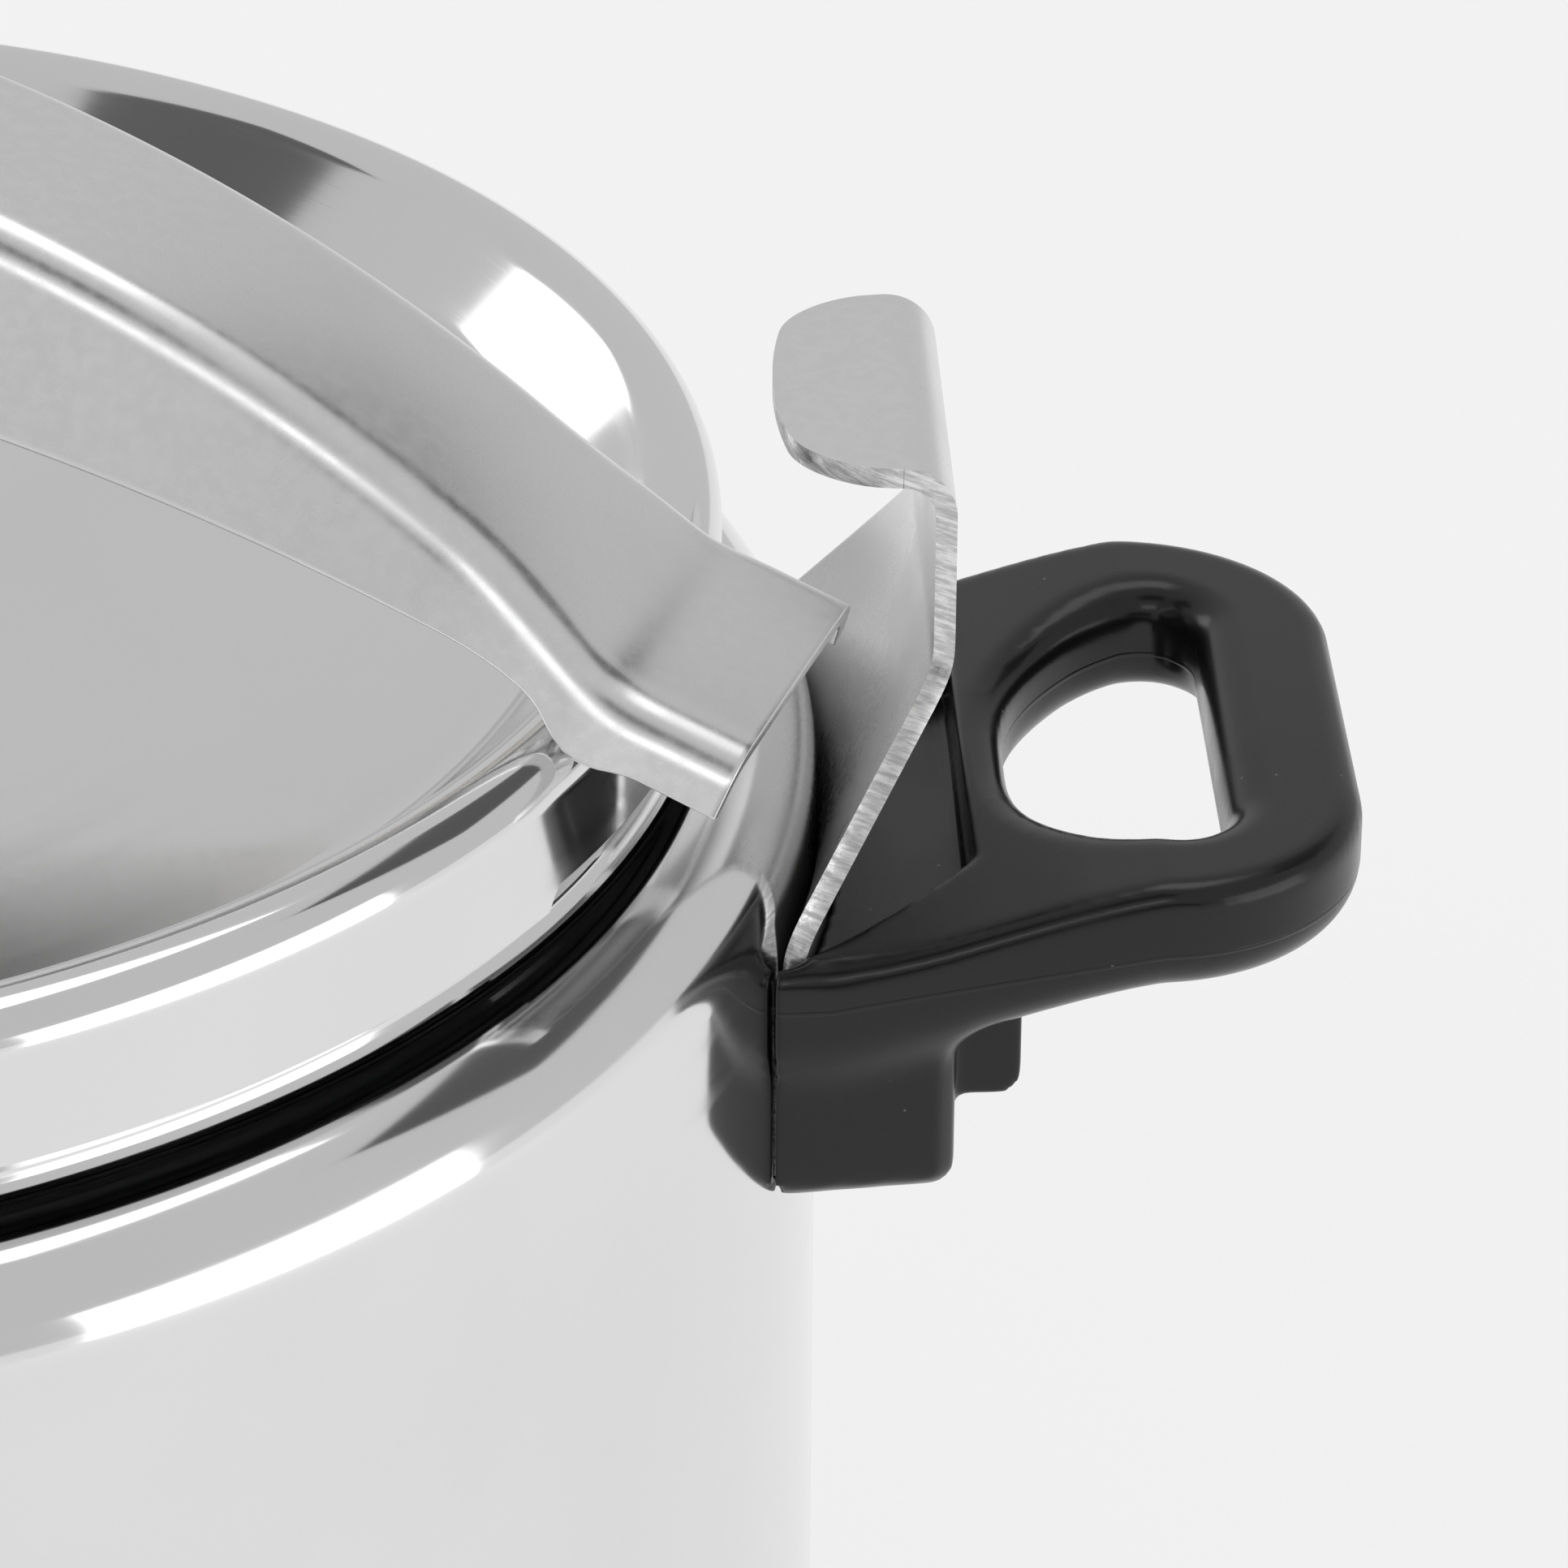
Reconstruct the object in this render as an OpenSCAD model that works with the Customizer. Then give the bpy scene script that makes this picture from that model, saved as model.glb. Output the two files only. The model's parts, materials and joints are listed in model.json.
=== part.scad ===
// Stovetop pressure cooker closed by a clamp bar.
// The origin is the centre of the base, +Z is up and +X runs through the side handles.
// The bar is drawn swung clear of its hooks and screwed down, ready to be turned and locked.

/* [Pot] */
// Outer radius of the pot's straight wall
pot_r = 121; // [95:1:150]
// Height of the lid's lower edge above the table
seam_z = 180; // [140:1:240]
// Sheet thickness of the pot
wall_t = 1; // [0.8:0.1:2]
// Radius of the rounded shoulder under the lid
shoulder_r = 10; // [6:1:14]
// Height of the shoulder's top below the lid's lower edge
shoulder_drop = 7.6; // [6:0.1:9]
// Thickness of the aluminium heat spreader
spreader_t = 5; // [3:0.5:8]
// Thickness of the steel cap that wraps the spreader
cap_t = 1; // [0.6:0.1:2]

/* [Lid] */
// Sheet thickness of the lid
lid_t = 1; // [0.8:0.1:2]
// Distance from the pot's wall in to the lid's outer skirt
skirt_inset = 9.2; // [8:0.1:12]
// Height of the ridge's crest above the lid's lower edge
crest_h = 12.2; // [11:0.1:18]
// Radius of the rounded ridge
ridge_r = 4.3; // [4:0.1:6]
// Depth of the flat centre below the crest
recess_d = 9.2; // [6:0.1:12]
// Slope of the ridge's inner side
recess_slope = 45; // [30:1:60]
// Height of the locating lip that hangs below the skirt
lip_h = 2.2; // [1:0.1:3]
// Half angle of the gap in the locating lip at each handle
lip_gap = 31.6; // [15:0.1:40]

/* [Seal] */
// Width of the rubber seal's section
seal_w = 4.6; // [3:0.1:6]
// Height of the rubber seal's section
seal_h = 4; // [3:0.1:6]
// Gap between the seal and the pot's rim before the bar is tightened
seal_gap = 0.3; // [0.2:0.1:1]

/* [Clamp bar] */
// Height of the bar's crown above the lid's lower edge
bar_crown = 61.5; // [50:0.5:80]
// Radius of the arch, measured to its top face
bar_arch_r = 165.3; // [150:0.5:200]
// Half width of the bar's flat top
bar_top = 13; // [11:0.5:18]
// Half width across the flared sides
bar_flare = 20; // [17:0.5:26]
// Depth of the flared sides at the crown
bar_depth = 20; // [16:0.5:26]
// Sheet thickness of the bar
bar_t = 2.2; // [1.5:0.1:3]
// Height of the tongue's root above the lid's lower edge
tongue_z = 17.3; // [14:0.1:18]
// Slope of the tongue
tongue_slope = 22; // [10:1:28]
// Half width of the tongue
tongue_w = 18; // [14:0.5:20]
// Gap from the tongue's end to the upright of the hook
tongue_gap = 7; // [3:0.1:10]
// Angle that the bar is swung back from the hooks
bar_swing = 20; // [20:0.5:35]

/* [Hook brackets] */
// Sheet thickness of a bracket
hook_t = 2; // [1.5:0.1:3]
// Half width of the hook and its upright
hook_w = 18.8; // [14:0.1:22]
// Half width of the foot on the pot's wall
foot_w = 34; // [24:0.5:38]
// Distance from the pot's wall to the upright's outer face
hook_reach = 12; // [10:0.1:18]
// Height of the hook's top face above the lid's lower edge
hook_z = 21; // [20:0.1:30]
// Depth below the lid's lower edge where the web meets the wall
hook_foot_top = 22; // [18:0.5:26]
// Depth of the hook, from the middle of its tip to the outer face
hook_depth = 16.4; // [12:0.1:18]
// Inner bend radius of the bracket
hook_bend = 3; // [2:0.5:5]

/* [Side handles] */
// Distance from the pot's wall to the end of the grip
grip_reach = 51; // [44:0.5:60]
// Half width of the grip
grip_w = 36.5; // [34:0.5:44]
// Thickness of the grip
grip_t = 12; // [10:0.5:16]
// Width of the bar across the end of the grip
grip_bar = 13; // [10:0.5:16]
// Depth of the grip's mid plane below the lid's lower edge
grip_drop = 20; // [16:0.5:24]
// Depth of the grip's mid plane where it leaves the wall
root_drop = 28.5; // [24:0.5:30]
// Half width of the mounting block at the wall
block_w = 36; // [34:0.5:42]
// Depth of the mounting block, out from the wall
block_d = 12; // [10:0.5:16]
// Depth of the block's bottom below the lid's lower edge
block_bottom = 48; // [46:0.5:56]
// Depth of the block's top below the lid's lower edge
block_top = 24; // [22:0.5:28]
// Radius of the handle's fixing screws
screw_r = 2.5; // [2:0.1:3]
// Half distance between the two screws of a handle
screw_dy = 14; // [12:0.5:18]

/* [Screw spindle and knob] */
// Radius of the spindle's thread
spindle_r = 6; // [5:0.1:8]
// Travel up that the screw gives the bar
bar_rise = 1.8; // [1:0.1:3]
// Radius of the clamp knob
knob_r = 30; // [24:1:38]
// Height of the clamp knob
knob_h = 30; // [22:1:38]
// Number of lobes on the knob
knob_lobes = 6; // [5:1:9]
// Radius of the pressure pad
pad_r = 18; // [14:0.5:24]

/* [Valves] */
// Distance from the axis to each valve
valve_x = 58; // [45:1:70]
// Radius of the valve's steam bore
steam_r = 1.5; // [1:0.1:2]
// Radius of the regulating weight
weight_r = 11; // [9:0.5:14]
// Height of the regulating weight
weight_h = 14; // [10:0.5:16]
// Outer radius of the safety valve's housing
safety_r = 8; // [7:0.5:10]

/* [Hidden] */
$fn = 96;

run = 0.05;      // radial clearance of a running fit
slip = 0.15;     // clearance of a piece that is dropped into place
air = 0.4;       // gap between pieces that must never rub
over = 1;        // extra length that lets a cut run clean through

// Pot
shoulder_x = pot_r - shoulder_r;
shoulder_z = seam_z - shoulder_drop - shoulder_r;
skirt_r = pot_r - skirt_inset;
ridge_x = skirt_r - ridge_r;
ridge_z = seam_z + crest_h - ridge_r;
floor_z = seam_z + crest_h - recess_d;
seal_x = ridge_x;
seal_top = ridge_z + ridge_r - lid_t - slip - 0.4;
rim_z = seal_top - seal_h - seal_gap;
neck_r = seal_x + wall_t / 2;
neck_fillet = min(2.5, (shoulder_x - neck_r));
base_edge_r = 12;
pot_floor_z = cap_t + spreader_t;

// Clamp bar, in its own frame along X before it is swung
arch_z = seam_z + bar_crown - bar_arch_r;
bar_end = pot_r + hook_reach - hook_t - tongue_gap;
tongue_top = seam_z + tongue_z;
tongue_start = sqrt(pow(bar_arch_r, 2) - pow(tongue_top - arch_z, 2));
belly_r = 233.3;
belly_z = seam_z + bar_crown - bar_depth - belly_r;
crown_z = seam_z + bar_crown;

// Hook and handle
hook_x = pot_r + hook_reach;
hook_top = seam_z + hook_z;
grip_x = pot_r + grip_reach;
knee_x = grip_x - 20;
slot_x = hook_x + 1.6;
hole_x = slot_x + 4.6;
block_x = pot_r + block_d;
foot_z = seam_z - block_bottom + 2;
foot_angle = asin(foot_w / (pot_r + hook_t));
screw_head_r = screw_r * 1.9;
screw_z = seam_z - block_bottom + screw_head_r + 4.2;
boss_r = screw_r + 2.2;
boss_len = 4;

// Spindle and knob
boss_top = floor_z + 1.6;
pad_h = 9;
socket_depth = 6.5;
spindle_z = boss_top + pad_h - socket_depth;
bush_r = spindle_r + 4;
bush_top = crown_z + 2;
knob_z = bush_top + bar_rise + 1.5;
insert_r = spindle_r + 3;
cap_r = 12;

// Valves
weight_z = floor_z + 11;
spring_r = safety_r - 2.6;
wire_r = 0.6;
spring_turns = 5;

// Points on an arc about (x, z) from angle a to angle b
function arc(x, z, r, a, b, n = 12) =
    [for (i = [0 : n]) let (t = a + (b - a) * i / n) [x + r * cos(t), z + r * sin(t)]];

// Turned solid from a half section
module turned(points) {
    rotate_extrude() polygon(points);
}

// Ring with a plain rectangular section
module ring(r_in, r_out, z, h) {
    translate([0, 0, z]) difference() {
        cylinder(r = r_out, h = h);
        translate([0, 0, -over]) cylinder(r = r_in, h = h + 2 * over);
    }
}

// Solid drawn as a side view in X and Z and given a width along Y
module side_view(half_width) {
    translate([0, half_width, 0]) rotate([90, 0, 0]) linear_extrude(2 * half_width) children();
}

// Horizontal hole or pin along X
module along_x(x, y, z, r, len) {
    translate([x, y, z]) rotate([0, 90, 0]) cylinder(r = r, h = len);
}

// Hexagonal prism measured across its corners
module hex(r, z, h) {
    translate([0, 0, z]) cylinder(r = r, h = h, $fn = 6);
}

// Swings children to where the bar stands
module swung() {
    rotate([0, 0, -bar_swing]) children();
}

// ---------------------------------------------------------------- pot

// Half section of the pot's outside when inset is 0 and of its inside when inset is wall_t
function pot_outline(inset) = concat(
    [[0, pot_floor_z + inset]],
    arc(pot_r - base_edge_r, pot_floor_z + base_edge_r, base_edge_r - inset, -90, 0),
    arc(shoulder_x, shoulder_z, shoulder_r - inset, 0, 90),
    arc(neck_r + neck_fillet, shoulder_z + shoulder_r + neck_fillet,
        neck_fillet + inset, 270, 180, 8),
    [[neck_r - inset, rim_z]]);

module pot_body() {
    outside = pot_outline(0);
    inside = pot_outline(wall_t);
    color("silver") turned(concat(outside, [for (i = [len(inside) - 1 : -1 : 0]) inside[i]]));
}

module heat_spreader() {
    r = pot_r - base_edge_r;
    color("gainsboro") translate([0, 0, cap_t]) cylinder(r = r - cap_t, h = spreader_t);
}

module base_cap() {
    r = pot_r - base_edge_r;
    color("silver") difference() {
        cylinder(r = r, h = cap_t + spreader_t);
        translate([0, 0, cap_t]) cylinder(r = r - cap_t, h = spreader_t + over);
    }
}

// ---------------------------------------------------------------- side handles

module weld_bosses() {
    color("dimgray") for (side = [0, 180], y = [-screw_dy, screw_dy]) rotate([0, 0, side])
        difference() {
            along_x(pot_r - 4, y, screw_z, boss_r, boss_len + 4);
            cylinder(r = pot_r, h = seam_z);
            along_x(pot_r - 5, y, screw_z, screw_r, boss_len + 6);
        }
}

// Part of a ring round the pot's axis, grow wider than the foot on each side
module foot_sector(r_in, r_out, z, h, grow = 0) {
    a = foot_angle + grow;
    translate([0, 0, z]) rotate([0, 0, -a]) rotate_extrude(angle = 2 * a, $fn = 180)
        translate([r_in, 0]) square([r_out - r_in, h]);
}

// Leaning web: a sheet ruled from the straight upright to the round foot. Its ends lie a
// little inside both
module web_sheet() {
    n = 8;
    m = n + 1;
    in = 0.08;
    r = pot_r + slip;
    z = seam_z - hook_foot_top - over;
    function top(x) = [for (i = [0 : n]) [x, hook_w * (2 * i / n - 1), seam_z]];
    function low(r) = [for (i = [0 : n]) let (a = foot_angle * (2 * i / n - 1))
        [r * cos(a), r * sin(a), z]];
    polyhedron(
        points = concat(top(hook_x - in), low(r + hook_t - in), top(hook_x - hook_t + in),
            low(r + in)),
        faces = concat(
            [for (i = [0 : n - 1]) each [
                [i, i + 1, m + i + 1], [i, m + i + 1, m + i],
                [2 * m + i + 1, 2 * m + i, 3 * m + i], [2 * m + i + 1, 3 * m + i, 3 * m + i + 1],
                [2 * m + i, 2 * m + i + 1, i + 1], [2 * m + i, i + 1, i],
                [3 * m + i, m + i + 1, 3 * m + i + 1], [3 * m + i, m + i, m + i + 1]]],
            [[2 * m, 0, m], [2 * m, m, 3 * m],
                [n, 2 * m + n, 3 * m + n], [n, 3 * m + n, m + n]]));
}

// Side view of the upright and its hook
module hook_outline() {
    r_out = hook_bend + hook_t;
    tip_x = hook_x - hook_depth;
    polygon(concat(
        [[hook_x, seam_z - over]],
        arc(hook_x - r_out, hook_top - r_out, r_out, 0, 90, 8),
        [[tip_x, hook_top], [tip_x, hook_top - hook_t]],
        arc(hook_x - r_out, hook_top - r_out, hook_bend, 90, 0, 8),
        [[hook_x - hook_t, seam_z - over]]));
}

// Plan of the hook: a bowed edge and rounded corners at its tip
module hook_plan() {
    bow_r = 60;
    corner_x = hook_x - hook_depth + bow_r - sqrt(pow(bow_r, 2) - pow(hook_w, 2));
    corner_r = 8;
    intersection() {
        translate([hook_x - hook_depth + bow_r, 0]) circle(r = bow_r, $fn = 180);
        union() {
            translate([corner_x + corner_r, -hook_w]) square([hook_depth + over, 2 * hook_w]);
            translate([0, corner_r - hook_w]) square([hook_x, 2 * (hook_w - corner_r)]);
            for (s = [-1, 1]) translate([corner_x + corner_r, s * (hook_w - corner_r)])
                circle(r = corner_r);
        }
    }
}

module hook_bracket() {
    color("lightgray") difference() {
        union() {
            intersection() {
                side_view(hook_w) hook_outline();
                translate([0, 0, seam_z - 2 * over]) linear_extrude(hook_z + 3 * over) hook_plan();
            }
            web_sheet();
            foot_sector(pot_r + slip, pot_r + slip + hook_t, foot_z,
                seam_z - hook_foot_top - foot_z);
        }
        for (y = [-screw_dy, screw_dy])
            along_x(pot_r - 5, y, screw_z, boss_r + slip, hook_t + 10);
    }
}

module hook_bracket_right() hook_bracket();
module hook_bracket_left() rotate([0, 0, 180]) hook_bracket();

// Side view of the grip: it rises from the wall and levels out, with a round end
module grip_side() {
    half = grip_t / 2;
    low = seam_z - root_drop;
    high = seam_z - grip_drop;
    polygon(concat(
        [[pot_r - 8, low - half], [block_x, low - half], [knee_x, high - half]],
        arc(grip_x - half, high, half, -90, 90, 12),
        [[knee_x, high + half], [pot_r, low + half], [pot_r - 8, low + half]]));
}

// Plan of the grip's outline
module grip_plan() {
    end_r = grip_x - knee_x;
    translate([pot_r - 8, -grip_w]) square([knee_x - pot_r + 8, 2 * grip_w]);
    translate([knee_x - over, end_r - grip_w]) square([end_r + over, 2 * (grip_w - end_r)]);
    for (s = [-1, 1]) translate([knee_x, s * (grip_w - end_r)]) circle(r = end_r);
}

// Plan of the finger hole, with rounded corners
module grip_hole() {
    r = 7;
    end_x = grip_x - grip_bar;
    w = grip_w - grip_bar + 1;
    translate([hole_x, r - w]) square([end_x - hole_x, 2 * (w - r)]);
    translate([hole_x + r, -w]) square([end_x - hole_x - 2 * r, 2 * w]);
    for (x = [hole_x + r, end_x - r], s = [-1, 1]) translate([x, s * (w - r)]) circle(r = r);
}

module side_handle() {
    taper = 2.4;
    rib_y = 20;
    rib_t = 6;
    base_z = seam_z - block_bottom;
    color([0.08, 0.08, 0.08]) difference() {
        union() {
            // Grip, cut to its outline
            intersection() {
                side_view(grip_w) grip_side();
                translate([0, 0, base_z]) linear_extrude(block_bottom) grip_plan();
            }
            // Mounting block, and the two ribs that carry the grip
            translate([0, 0, base_z]) linear_extrude(block_bottom - block_top)
                polygon([[pot_r - 8, -block_w], [block_x, -block_w + taper],
                    [block_x, block_w - taper], [pot_r - 8, block_w]]);
            for (y = [rib_y, -rib_y - rib_t]) translate([block_x - over, y, base_z + 6])
                cube([hole_x - block_x + over, rib_t, block_bottom - root_drop - 6]);
        }
        translate([0, 0, base_z - over]) linear_extrude(block_bottom) grip_hole();
        // Slot round the bracket's web
        translate([0, 0, seam_z - block_top]) linear_extrude(block_top)
            polygon([[pot_r - 9, -foot_w - 0.8], [pot_r - 4, -foot_w - 0.8],
                [slot_x, -hook_w - 2], [slot_x, hook_w + 2], [pot_r - 4, foot_w + 0.8],
                [pot_r - 9, foot_w + 0.8]]);
        // Seat on the wall, and a pocket for the bracket's foot
        translate([0, 0, base_z - over]) cylinder(r = pot_r + slip, h = block_bottom, $fn = 180);
        foot_sector(pot_r, pot_r + hook_t + 2 * slip, foot_z - slip, block_bottom, 0.15);
        // Bosses and screws
        for (y = [-screw_dy, screw_dy]) {
            along_x(pot_r - 5, y, screw_z, boss_r + slip, boss_len + slip + 5);
            along_x(pot_r, y, screw_z, screw_r + slip, block_d + 2 * over);
            along_x(block_x - 4, y, screw_z, screw_head_r + air, 4 + over);
        }
    }
}

module side_handle_right() side_handle();
module side_handle_left() rotate([0, 0, 180]) side_handle();

module handle_screws() {
    head_x = block_x - 4;
    color("gray") for (side = [0, 180], y = [-screw_dy, screw_dy]) rotate([0, 0, side])
        difference() {
            union() {
                along_x(pot_r + 0.6, y, screw_z, screw_r - run, head_x - pot_r);
                along_x(head_x, y, screw_z, screw_head_r, 2.6);
            }
            translate([head_x + 1.4, y - 4 * screw_r, screw_z - 0.5])
                cube([3, 8 * screw_r, 1]);
        }
}

// ---------------------------------------------------------------- lid

// Half section of the lid's top face, offset inwards by inset
function lid_outline(inset) =
    let (
        a = 90 + recess_slope,
        fillet_r = 6,
        top = [ridge_x + (ridge_r - inset) * cos(a), ridge_z + (ridge_r - inset) * sin(a)],
        low_r = fillet_r + inset,
        low_z = floor_z + fillet_r,
        foot_z = low_z - low_r * cos(recess_slope),
        foot_x = top[0] - (top[1] - foot_z) / tan(recess_slope),
        low_x = foot_x - low_r * sin(recess_slope)
    ) concat(
        [[skirt_r - inset, seam_z - lip_h]],
        arc(ridge_x, ridge_z, ridge_r - inset, 0, a, 16),
        arc(low_x, low_z, low_r, recess_slope - 90, -90, 8),
        [[0, floor_z - inset]]);

module lid_shell() {
    outside = lid_outline(0);
    inside = lid_outline(lid_t);
    color("silver") difference() {
        turned(concat(outside, [for (i = [len(inside) - 1 : -1 : 0]) inside[i]]));
        // Gap in the locating lip at each handle
        for (side = [0, 180]) rotate([0, 0, side]) translate([0, 0, seam_z - lip_h - over])
            linear_extrude(lip_h + over) polygon([[0, 0],
                [2 * pot_r * cos(lip_gap), -2 * pot_r * sin(lip_gap)],
                [2 * pot_r * cos(lip_gap), 2 * pot_r * sin(lip_gap)]]);
        for (a = [90, 270]) rotate([0, 0, a]) translate([valve_x, 0, floor_z - lid_t - over])
            cylinder(r = 5 + slip, h = lid_t + 2 * over);
    }
}

module lid_seal() {
    // The top edges are chamfered to clear the round inside of the ridge
    cut = seal_w / 2 - 1.3;
    low = seal_top - seal_h;
    color("dimgray") turned([[seal_x - seal_w / 2, low], [seal_x + seal_w / 2, low],
        [seal_x + seal_w / 2, seal_top - cut], [seal_x + seal_w / 2 - cut, seal_top],
        [seal_x - seal_w / 2 + cut, seal_top], [seal_x - seal_w / 2, seal_top - cut]]);
}

module lid_boss() {
    color("silver") turned([[0, floor_z], [pad_r + 6, floor_z], [pad_r + 5, boss_top],
        [0, boss_top]]);
}

// ---------------------------------------------------------------- clamp bar and screw

module pressure_pad() {
    color("silver") difference() {
        turned([[0, boss_top + run], [pad_r, boss_top + run], [pad_r, boss_top + 3],
            [spindle_r + 5, boss_top + pad_h - 1], [spindle_r + 4, boss_top + pad_h],
            [0, boss_top + pad_h]]);
        translate([0, 0, spindle_z]) cylinder(r = spindle_r + run, h = pad_h);
    }
}

module pad_clip() {
    color("gray") ring(spindle_r - 1 + run, spindle_r + 4, boss_top + pad_h + run, 1);
}

module spindle() {
    groove_z = boss_top + pad_h;
    top_z = knob_z + knob_h - 6;
    color("lightsteelblue") difference() {
        translate([0, 0, spindle_z + run]) cylinder(r = spindle_r, h = top_z - spindle_z);
        ring(spindle_r - 1, spindle_r + over, groove_z - 0.1, 1.3);
        along_x(-knob_r, 0, knob_z + 8, 1.5 + run, 2 * knob_r);
    }
}

// Half of the bar's section at the crown: flat top, rounded edge and flared side
function bar_section(inset) =
    let (
        edge_r = 5,
        lean = atan2(bar_flare - bar_top, bar_depth),
        x = bar_arch_r - edge_r,
        y = bar_top - edge_r + 2
    ) concat(
        [[bar_arch_r - inset, 0]],
        [for (t = [0 : 6]) let (a = (90 - lean) * t / 6)
            [x + (edge_r - inset) * cos(a), y + (edge_r - inset) * sin(a)]],
        [[bar_arch_r - bar_depth - 6,
            y + edge_r + (bar_depth + 6) * tan(lean) - inset / cos(lean)]]);

// Channel section swept round the arch's axis
module bar_channel() {
    outside = bar_section(0);
    inside = bar_section(bar_t);
    half = concat(outside, [for (i = [len(inside) - 1 : -1 : 0]) inside[i]]);
    sweep = asin(tongue_start / bar_arch_r);
    translate([0, 0, arch_z]) rotate([90, 0, 0]) rotate([0, 0, 90 - sweep])
        rotate_extrude(angle = 2 * sweep, $fn = 180)
            union() {
                polygon(half);
                mirror([0, 1]) polygon(half);
            }
}

// Flattened end of the bar that goes under the hook
module bar_tongue() {
    r = 7;
    flat_w = tongue_w - r;
    len = (bar_end - tongue_start) / cos(tongue_slope);
    top = concat([[0, 0]], arc(flat_w, -r, r, 90, 25, 6));
    low = concat(arc(flat_w, -r, r - bar_t, 25, 90, 6), [[0, -bar_t]]);
    half = concat(top, low);
    translate([tongue_start, 0, tongue_top]) rotate([0, tongue_slope, 0])
        translate([-3, 0, 0]) rotate([90, 0, 90]) linear_extrude(len + 3) union() {
            polygon(half);
            mirror([1, 0]) polygon(half);
        }
}

module clamp_bar() {
    color("lightgray") swung() difference() {
        union() {
            difference() {
                bar_channel();
                // Curved lower edge of the sides
                translate([0, 2 * bar_flare, belly_z]) rotate([90, 0, 0])
                    cylinder(r = belly_r, h = 4 * bar_flare, $fn = 360);
            }
            bar_tongue();
            rotate([0, 0, 180]) bar_tongue();
        }
        translate([0, 0, crown_z - 3 * bar_t]) cylinder(r = bush_r - 2 + slip, h = 6 * bar_t);
        for (x = [-1, 1]) translate([x * (bush_r + 3), 0, crown_z - 4 * bar_t])
            cylinder(r = 2 + run, h = 6 * bar_t);
    }
}

// Height of the flat plate on the bush, under the curved crown
function plate_top() = arch_z + sqrt(pow(bar_arch_r - bar_t, 2) - pow(bush_r + 7, 2));

module bar_bush() {
    plate_h = 5;
    color("darkgray") swung() difference() {
        union() {
            translate([-bush_r - 7, -bar_top + 4, plate_top() - plate_h])
                cube([2 * (bush_r + 7), 2 * (bar_top - 4), plate_h]);
            translate([0, 0, plate_top() - 14]) cylinder(r = bush_r - 1, h = 14);
            translate([0, 0, plate_top() - 1]) cylinder(r = bush_r - 2, h = bush_top - plate_top() + 1);
        }
        translate([0, 0, plate_top() - 20]) cylinder(r = spindle_r + run, h = 40);
        for (x = [-1, 1]) translate([x * (bush_r + 3), 0, plate_top() - 2 * plate_h])
            cylinder(r = 2 + run, h = 3 * plate_h);
    }
}

module bush_rivets() {
    color("gray") swung() for (x = [-1, 1]) translate([x * (bush_r + 3), 0, plate_top() - 6])
        union() {
            cylinder(r = 2, h = crown_z - plate_top() + 6.2);
            translate([0, 0, -0.6]) cylinder(r = 3.4, h = 1.5);
            translate([0, 0, crown_z - plate_top() + 6]) cylinder(r = 3.4, h = 1.2);
        }
}

module clamp_knob() {
    lobe_r = knob_r * 0.3;
    color([0.08, 0.08, 0.08]) difference() {
        union() {
            translate([0, 0, knob_z + 8]) linear_extrude(knob_h - 8) union() {
                circle(r = knob_r - lobe_r);
                for (i = [0 : knob_lobes - 1]) rotate(i * 360 / knob_lobes)
                    translate([knob_r - lobe_r, 0]) circle(r = lobe_r);
            }
            translate([0, 0, knob_z]) cylinder(r1 = insert_r + 4, r2 = insert_r + 7, h = 9);
        }
        translate([0, 0, knob_z - over]) cylinder(r = insert_r + slip, h = knob_h - 4 + over);
        translate([0, 0, knob_z + knob_h - 4]) cylinder(r = cap_r + slip, h = 5);
        along_x(-knob_r, 0, knob_z + 8, 1.5 + run, 2 * knob_r);
    }
}

module knob_insert() {
    color("gray") difference() {
        ring(spindle_r + run, insert_r, knob_z, knob_h - 5);
        along_x(-knob_r, 0, knob_z + 8, 1.5 + run, 2 * knob_r);
    }
}

module knob_pin() {
    color("dimgray") along_x(-insert_r - 3, 0, knob_z + 8, 1.5, 2 * insert_r + 6);
}

module knob_cap() {
    z = knob_z + knob_h - 4 + 0.5;
    color("gainsboro") turned([[0, z], [cap_r, z], [cap_r, z + 2.5], [cap_r - 1, z + 3.5],
        [0, z + 4]]);
}

// ---------------------------------------------------------------- valves

// Places children at one of the two valve holes in the lid
module at_valve(a) {
    rotate([0, 0, a]) translate([valve_x, 0, 0]) children();
}

module valve_nozzle() {
    low_z = floor_z - lid_t - 10;
    color("gold") at_valve(90) difference() {
        union() {
            translate([0, 0, low_z]) cylinder(r = 5, h = floor_z - low_z + over);
            hex(9, floor_z, 4);
            translate([0, 0, floor_z + 4]) cylinder(r = 4, h = 10);
            translate([0, 0, floor_z + 14]) cylinder(r1 = 4, r2 = 2.5, h = 3);
        }
        translate([0, 0, low_z - over]) cylinder(r = steam_r, h = 40);
    }
}

module valve_nut() {
    color("gold") at_valve(90) difference() {
        hex(9, floor_z - lid_t - 7, 5);
        translate([0, 0, floor_z - lid_t - 8]) cylinder(r = 5 + run, h = 8);
    }
}

module valve_washer() {
    color("dimgray") at_valve(90) ring(5 + slip, 9, floor_z - lid_t - 2, 2);
}

module valve_weight() {
    color("silver") at_valve(90) difference() {
        translate([0, 0, weight_z - 3]) cylinder(r = weight_r, h = weight_h);
        translate([0, 0, weight_z - 4]) cylinder(r = 4 + air, h = 7 + air + over);
        translate([0, 0, weight_z + 3 + air]) cylinder(r1 = 4 + air, r2 = 2.5 + air, h = 3);
        translate([0, 0, weight_z + 6]) cylinder(r = 2.5 + air, h = 1.8);
        for (a = [45 : 90 : 315]) rotate([0, 0, a])
            along_x(2, 0, weight_z + 6, 0.8, weight_r);
    }
}

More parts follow.
